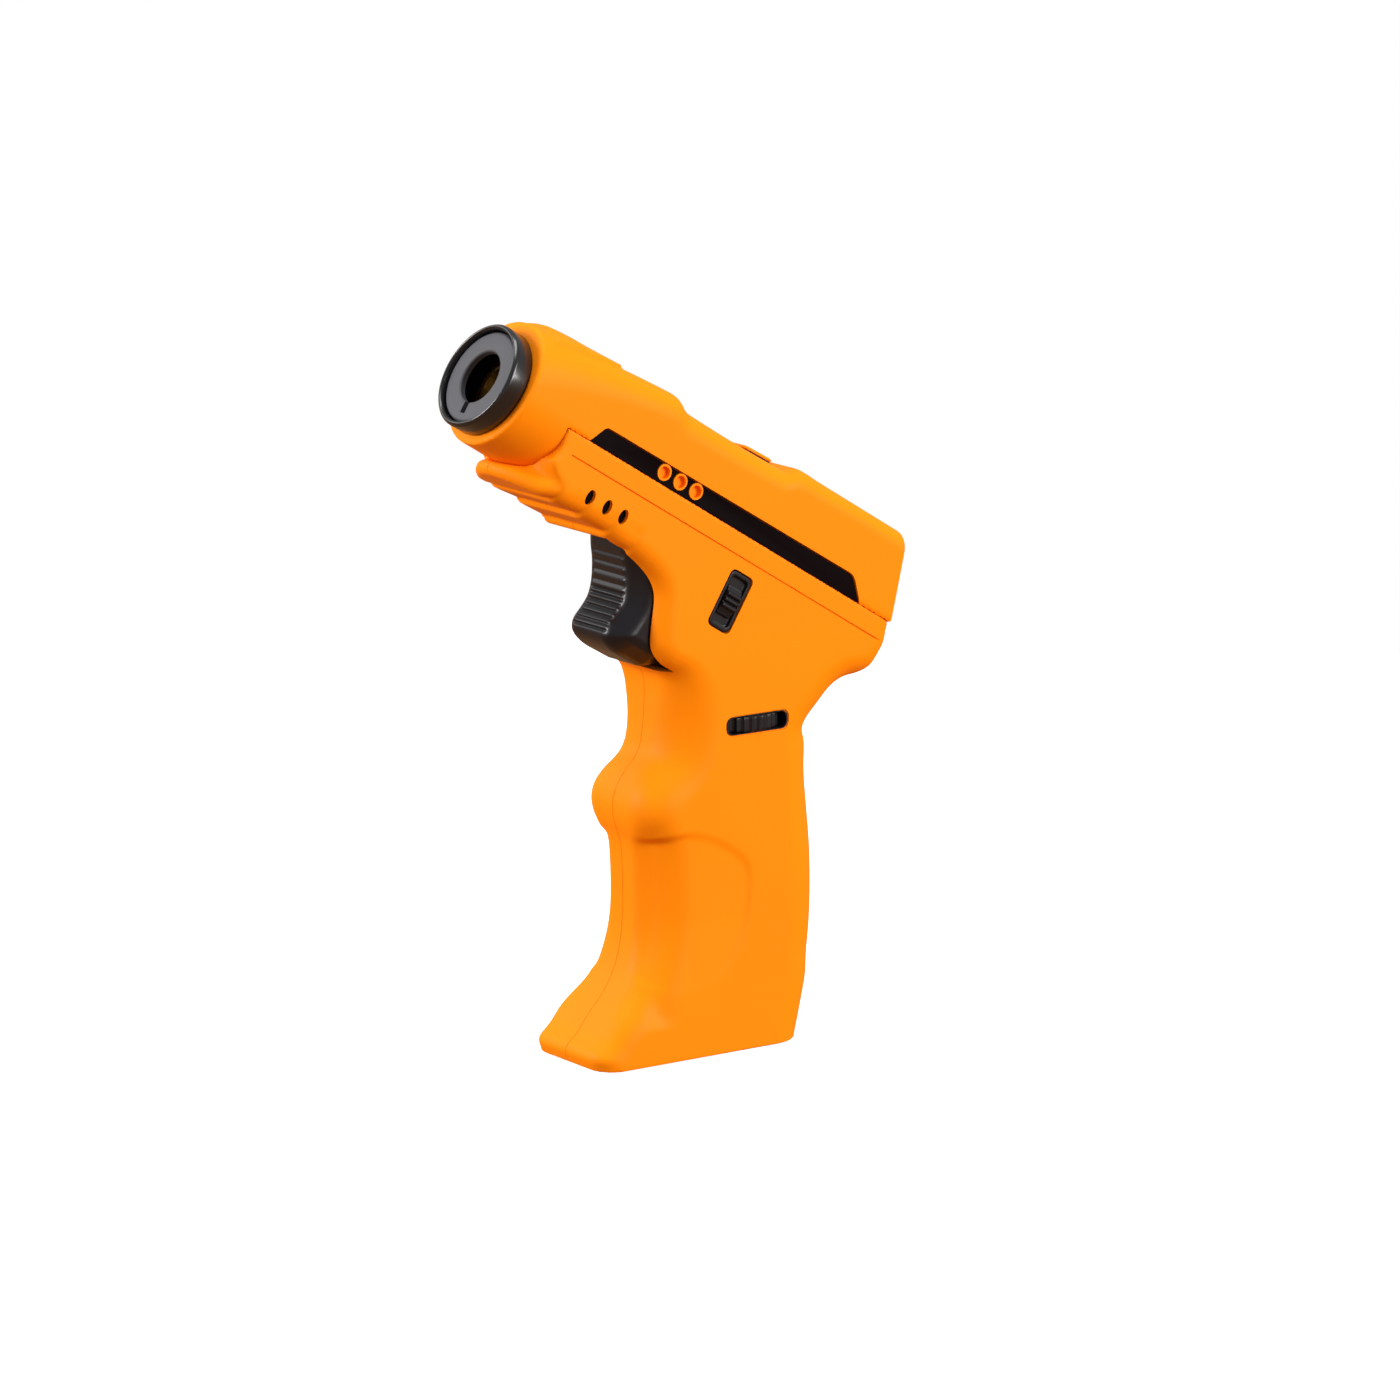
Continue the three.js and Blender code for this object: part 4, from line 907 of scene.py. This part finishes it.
cx, cz = from_barrel(SLIDER_S, SLIDER_N)
frame_piece = sculpted("mode_frame", slider_frame_field, (cx - 8, 12.6, cz - 9),
                       (cx + 8, 16, cz + 9), 0.24)
sharpen(frame_piece)
finished(frame_piece, BLACK, "black_plastic", "body", "slider_frame")
knob = sculpted("mode_knob", slider_knob_field, (cx - 6, 13, cz - 6), (cx + 6, 17, cz + 6), 0.2)
sharpen(knob)
finished(knob, BLACK, "black_plastic", "slider", "slider_knob")

# ------------------------------------------------------------------ thumbwheel

WHEEL_RADIUS = 11.0
WHEEL_HALF = 1.9
WHEEL_BORE = 2.3
WHEEL_RIBS = 36


def wheel_field(x, y, z):
    dx, dy = x - wheel_x, y - wheel_y
    r, angle = np.hypot(dx, dy), np.arctan2(dy, dx)
    rib = np.abs(np.sin(angle * WHEEL_RIBS / 2)) ** 0.6
    f = round_max(r - WHEEL_RADIUS + 0.55 * rib, np.abs(z - wheel_z) - WHEEL_HALF, 0.5)
    return np.maximum(f, WHEEL_BORE - r)


collar = prism(rounded_rect(wheel_x, wheel_z, 8.68, 2.18, 2.16, 12), 12.4, 15.0)
boolean(collar, prism(rounded_rect(wheel_x, wheel_z, 8.3, 1.99, 1.97, 12), 0, THROUGH))
collar.name = "wheel_collar"
finished(collar, BLACK, "black_plastic", "body")
wheel = sculpted("wheel", wheel_field, (wheel_x - 12, wheel_y - 12, wheel_z - 2.4),
                 (wheel_x + 12, wheel_y + 12, wheel_z + 2.4), 0.3)
sharpen(wheel)
finished(wheel, BLACK, "black_plastic", "dial", "thumbwheel")

# ------------------------------------------------------------------ top button

BUTTON_SLOPE = 0.035


def button_field(x, y, z):
    s, n = to_barrel(x, z)
    slope = BUTTON_SLOPE * (s - BUTTON_S)
    f = round_max(np.abs(s - BUTTON_S) - BUTTON_HALF_S, np.abs(y) - BUTTON_HALF_Y, 1.3)
    f = round_max(f, n - 18.35 - slope, 0.45)
    return round_max(f, GAP_SHADE_TOP + slope - n, 0.15)


# Painted shade: a black piece under the cap fills the gap around the button, so that the gap
# reads dark like a shadow.
def gap_shade_field(x, y, z):
    s, n = to_barrel(x, z)
    slope = BUTTON_SLOPE * (s - BUTTON_S)
    f = round_max(np.abs(s - BUTTON_S) - BUTTON_HALF_S + 0.3,
                  np.abs(y) - BUTTON_HALF_Y + 0.3, 1.0)
    return np.maximum(np.maximum(f, n - GAP_SHADE_TOP - slope), 14.95 - n)


cx, cz = from_barrel(BUTTON_S, 17)
BUTTON_BOX = (cx - 8, -5, cz - 8), (cx + 8, 5, cz + 8)
button = sculpted("button_cap", button_field, *BUTTON_BOX, 0.25)
sharpen(button)
finished(button, ORANGE, "orange_plastic", "button", "top_button")
gap_shade = sculpted("button_gap_shade", gap_shade_field, *BUTTON_BOX, 0.3)
sharpen(gap_shade)
finished(gap_shade, BLACK, "black_plastic", "button")

# ------------------------------------------------------------------ rear window

window = rear_prism(rounded_rect(0, 0, 11.45, 6.75, 1.0), -0.6, 0.6, "window")
bevelled(window, 0.15)
finished(window, WINDOW, "clear_window", "body", "lcd_window")

# ------------------------------------------------------------------ stage and lights

white = bpy.data.materials.new("stage_white")
white.use_nodes = True
shade = white.node_tree.nodes["Principled BSDF"]
shade.inputs["Base Color"].default_value = (0.95, 0.95, 0.95, 1)
shade.inputs["Roughness"].default_value = 0.9
shade.inputs["Emission Color"].default_value = (1, 1, 1, 1)
shade.inputs["Emission Strength"].default_value = 0.5
FLOOR_RADIUS = 0.5  # m
rim = [(x, y, 0) for x, y in ellipse(0, 0, FLOOR_RADIUS, FLOOR_RADIUS, 96)]
floor_mesh = bpy.data.meshes.new("floor")
floor_mesh.from_pydata(rim, [], [list(range(len(rim)))])
floor = bpy.data.objects.new("floor", floor_mesh)
floor.data.materials.append(white)
floor.visible_diffuse = floor.visible_glossy = False
bpy.context.scene.collection.objects.link(floor)
floor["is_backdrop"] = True

# Seen directly the surroundings are white. As light they are dimmer, most of all from below.
world = bpy.data.worlds.new("studio")
bpy.context.scene.world = world
world.use_nodes = True
nodes, links = world.node_tree.nodes, world.node_tree.links
seen = nodes["Background"]
seen.inputs["Color"].default_value = (1, 1, 1, 1)
seen.inputs["Strength"].default_value = 1.0
lit = nodes.new("ShaderNodeBackground")
where = nodes.new("ShaderNodeTexCoord")
split = nodes.new("ShaderNodeSeparateXYZ")
fade = nodes.new("ShaderNodeMapRange")
fade.inputs["From Min"].default_value = -0.35
fade.inputs["From Max"].default_value = 0.5
lit.inputs["Strength"].default_value = 0.44
warm = nodes.new("ShaderNodeMix")
warm.data_type = "RGBA"
MIX_FACTOR, MIX_A, MIX_B, MIX_RESULT = 0, 6, 7, 2  # the mix node's sockets for colours
warm.inputs[MIX_A].default_value = (1.0, 0.5, 0.24, 1)
warm.inputs[MIX_B].default_value = (1.0, 1.0, 1.0, 1)
links.new(fade.outputs["Result"], warm.inputs[MIX_FACTOR])
links.new(warm.outputs[MIX_RESULT], lit.inputs["Color"])
links.new(where.outputs["Generated"], split.inputs["Vector"])
links.new(split.outputs["Z"], fade.inputs["Value"])
ray = nodes.new("ShaderNodeLightPath")
choose = nodes.new("ShaderNodeMixShader")
links.new(ray.outputs["Is Camera Ray"], choose.inputs[0])
links.new(lit.outputs["Background"], choose.inputs[1])
links.new(seen.outputs["Background"], choose.inputs[2])
links.new(choose.outputs["Shader"], nodes["World Output"].inputs["Surface"])


def area_light(name, place, target, size, power, color=(1, 1, 1)):
    data = bpy.data.lights.new(name, "AREA")
    data.shape = "RECTANGLE"
    data.size, data.size_y = size
    data.energy = power
    data.color = color
    lamp = bpy.data.objects.new(name, data)
    lamp.location = place
    lamp.rotation_mode = "QUATERNION"
    lamp.rotation_quaternion = (Vector(place) - Vector(target)).to_track_quat("Z", "Y")
    bpy.context.scene.collection.objects.link(lamp)
    return lamp


CENTRE = (0, 0, 0.09)
area_light("front", (1.1, -0.45, 0.5), CENTRE, (0.5, 0.5), 14.0)
area_light("side", (-0.55, 1.15, 0.55), CENTRE, (0.7, 0.7), 18.0)
area_light("top", (0.1, -0.1, 1.2), CENTRE, (0.6, 0.6), 7.0)
area_light("rim", (0.5, -1.1, 0.6), CENTRE, (0.5, 0.5), 1.6)
bpy.context.scene.view_settings.view_transform = "Standard"

low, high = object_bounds()
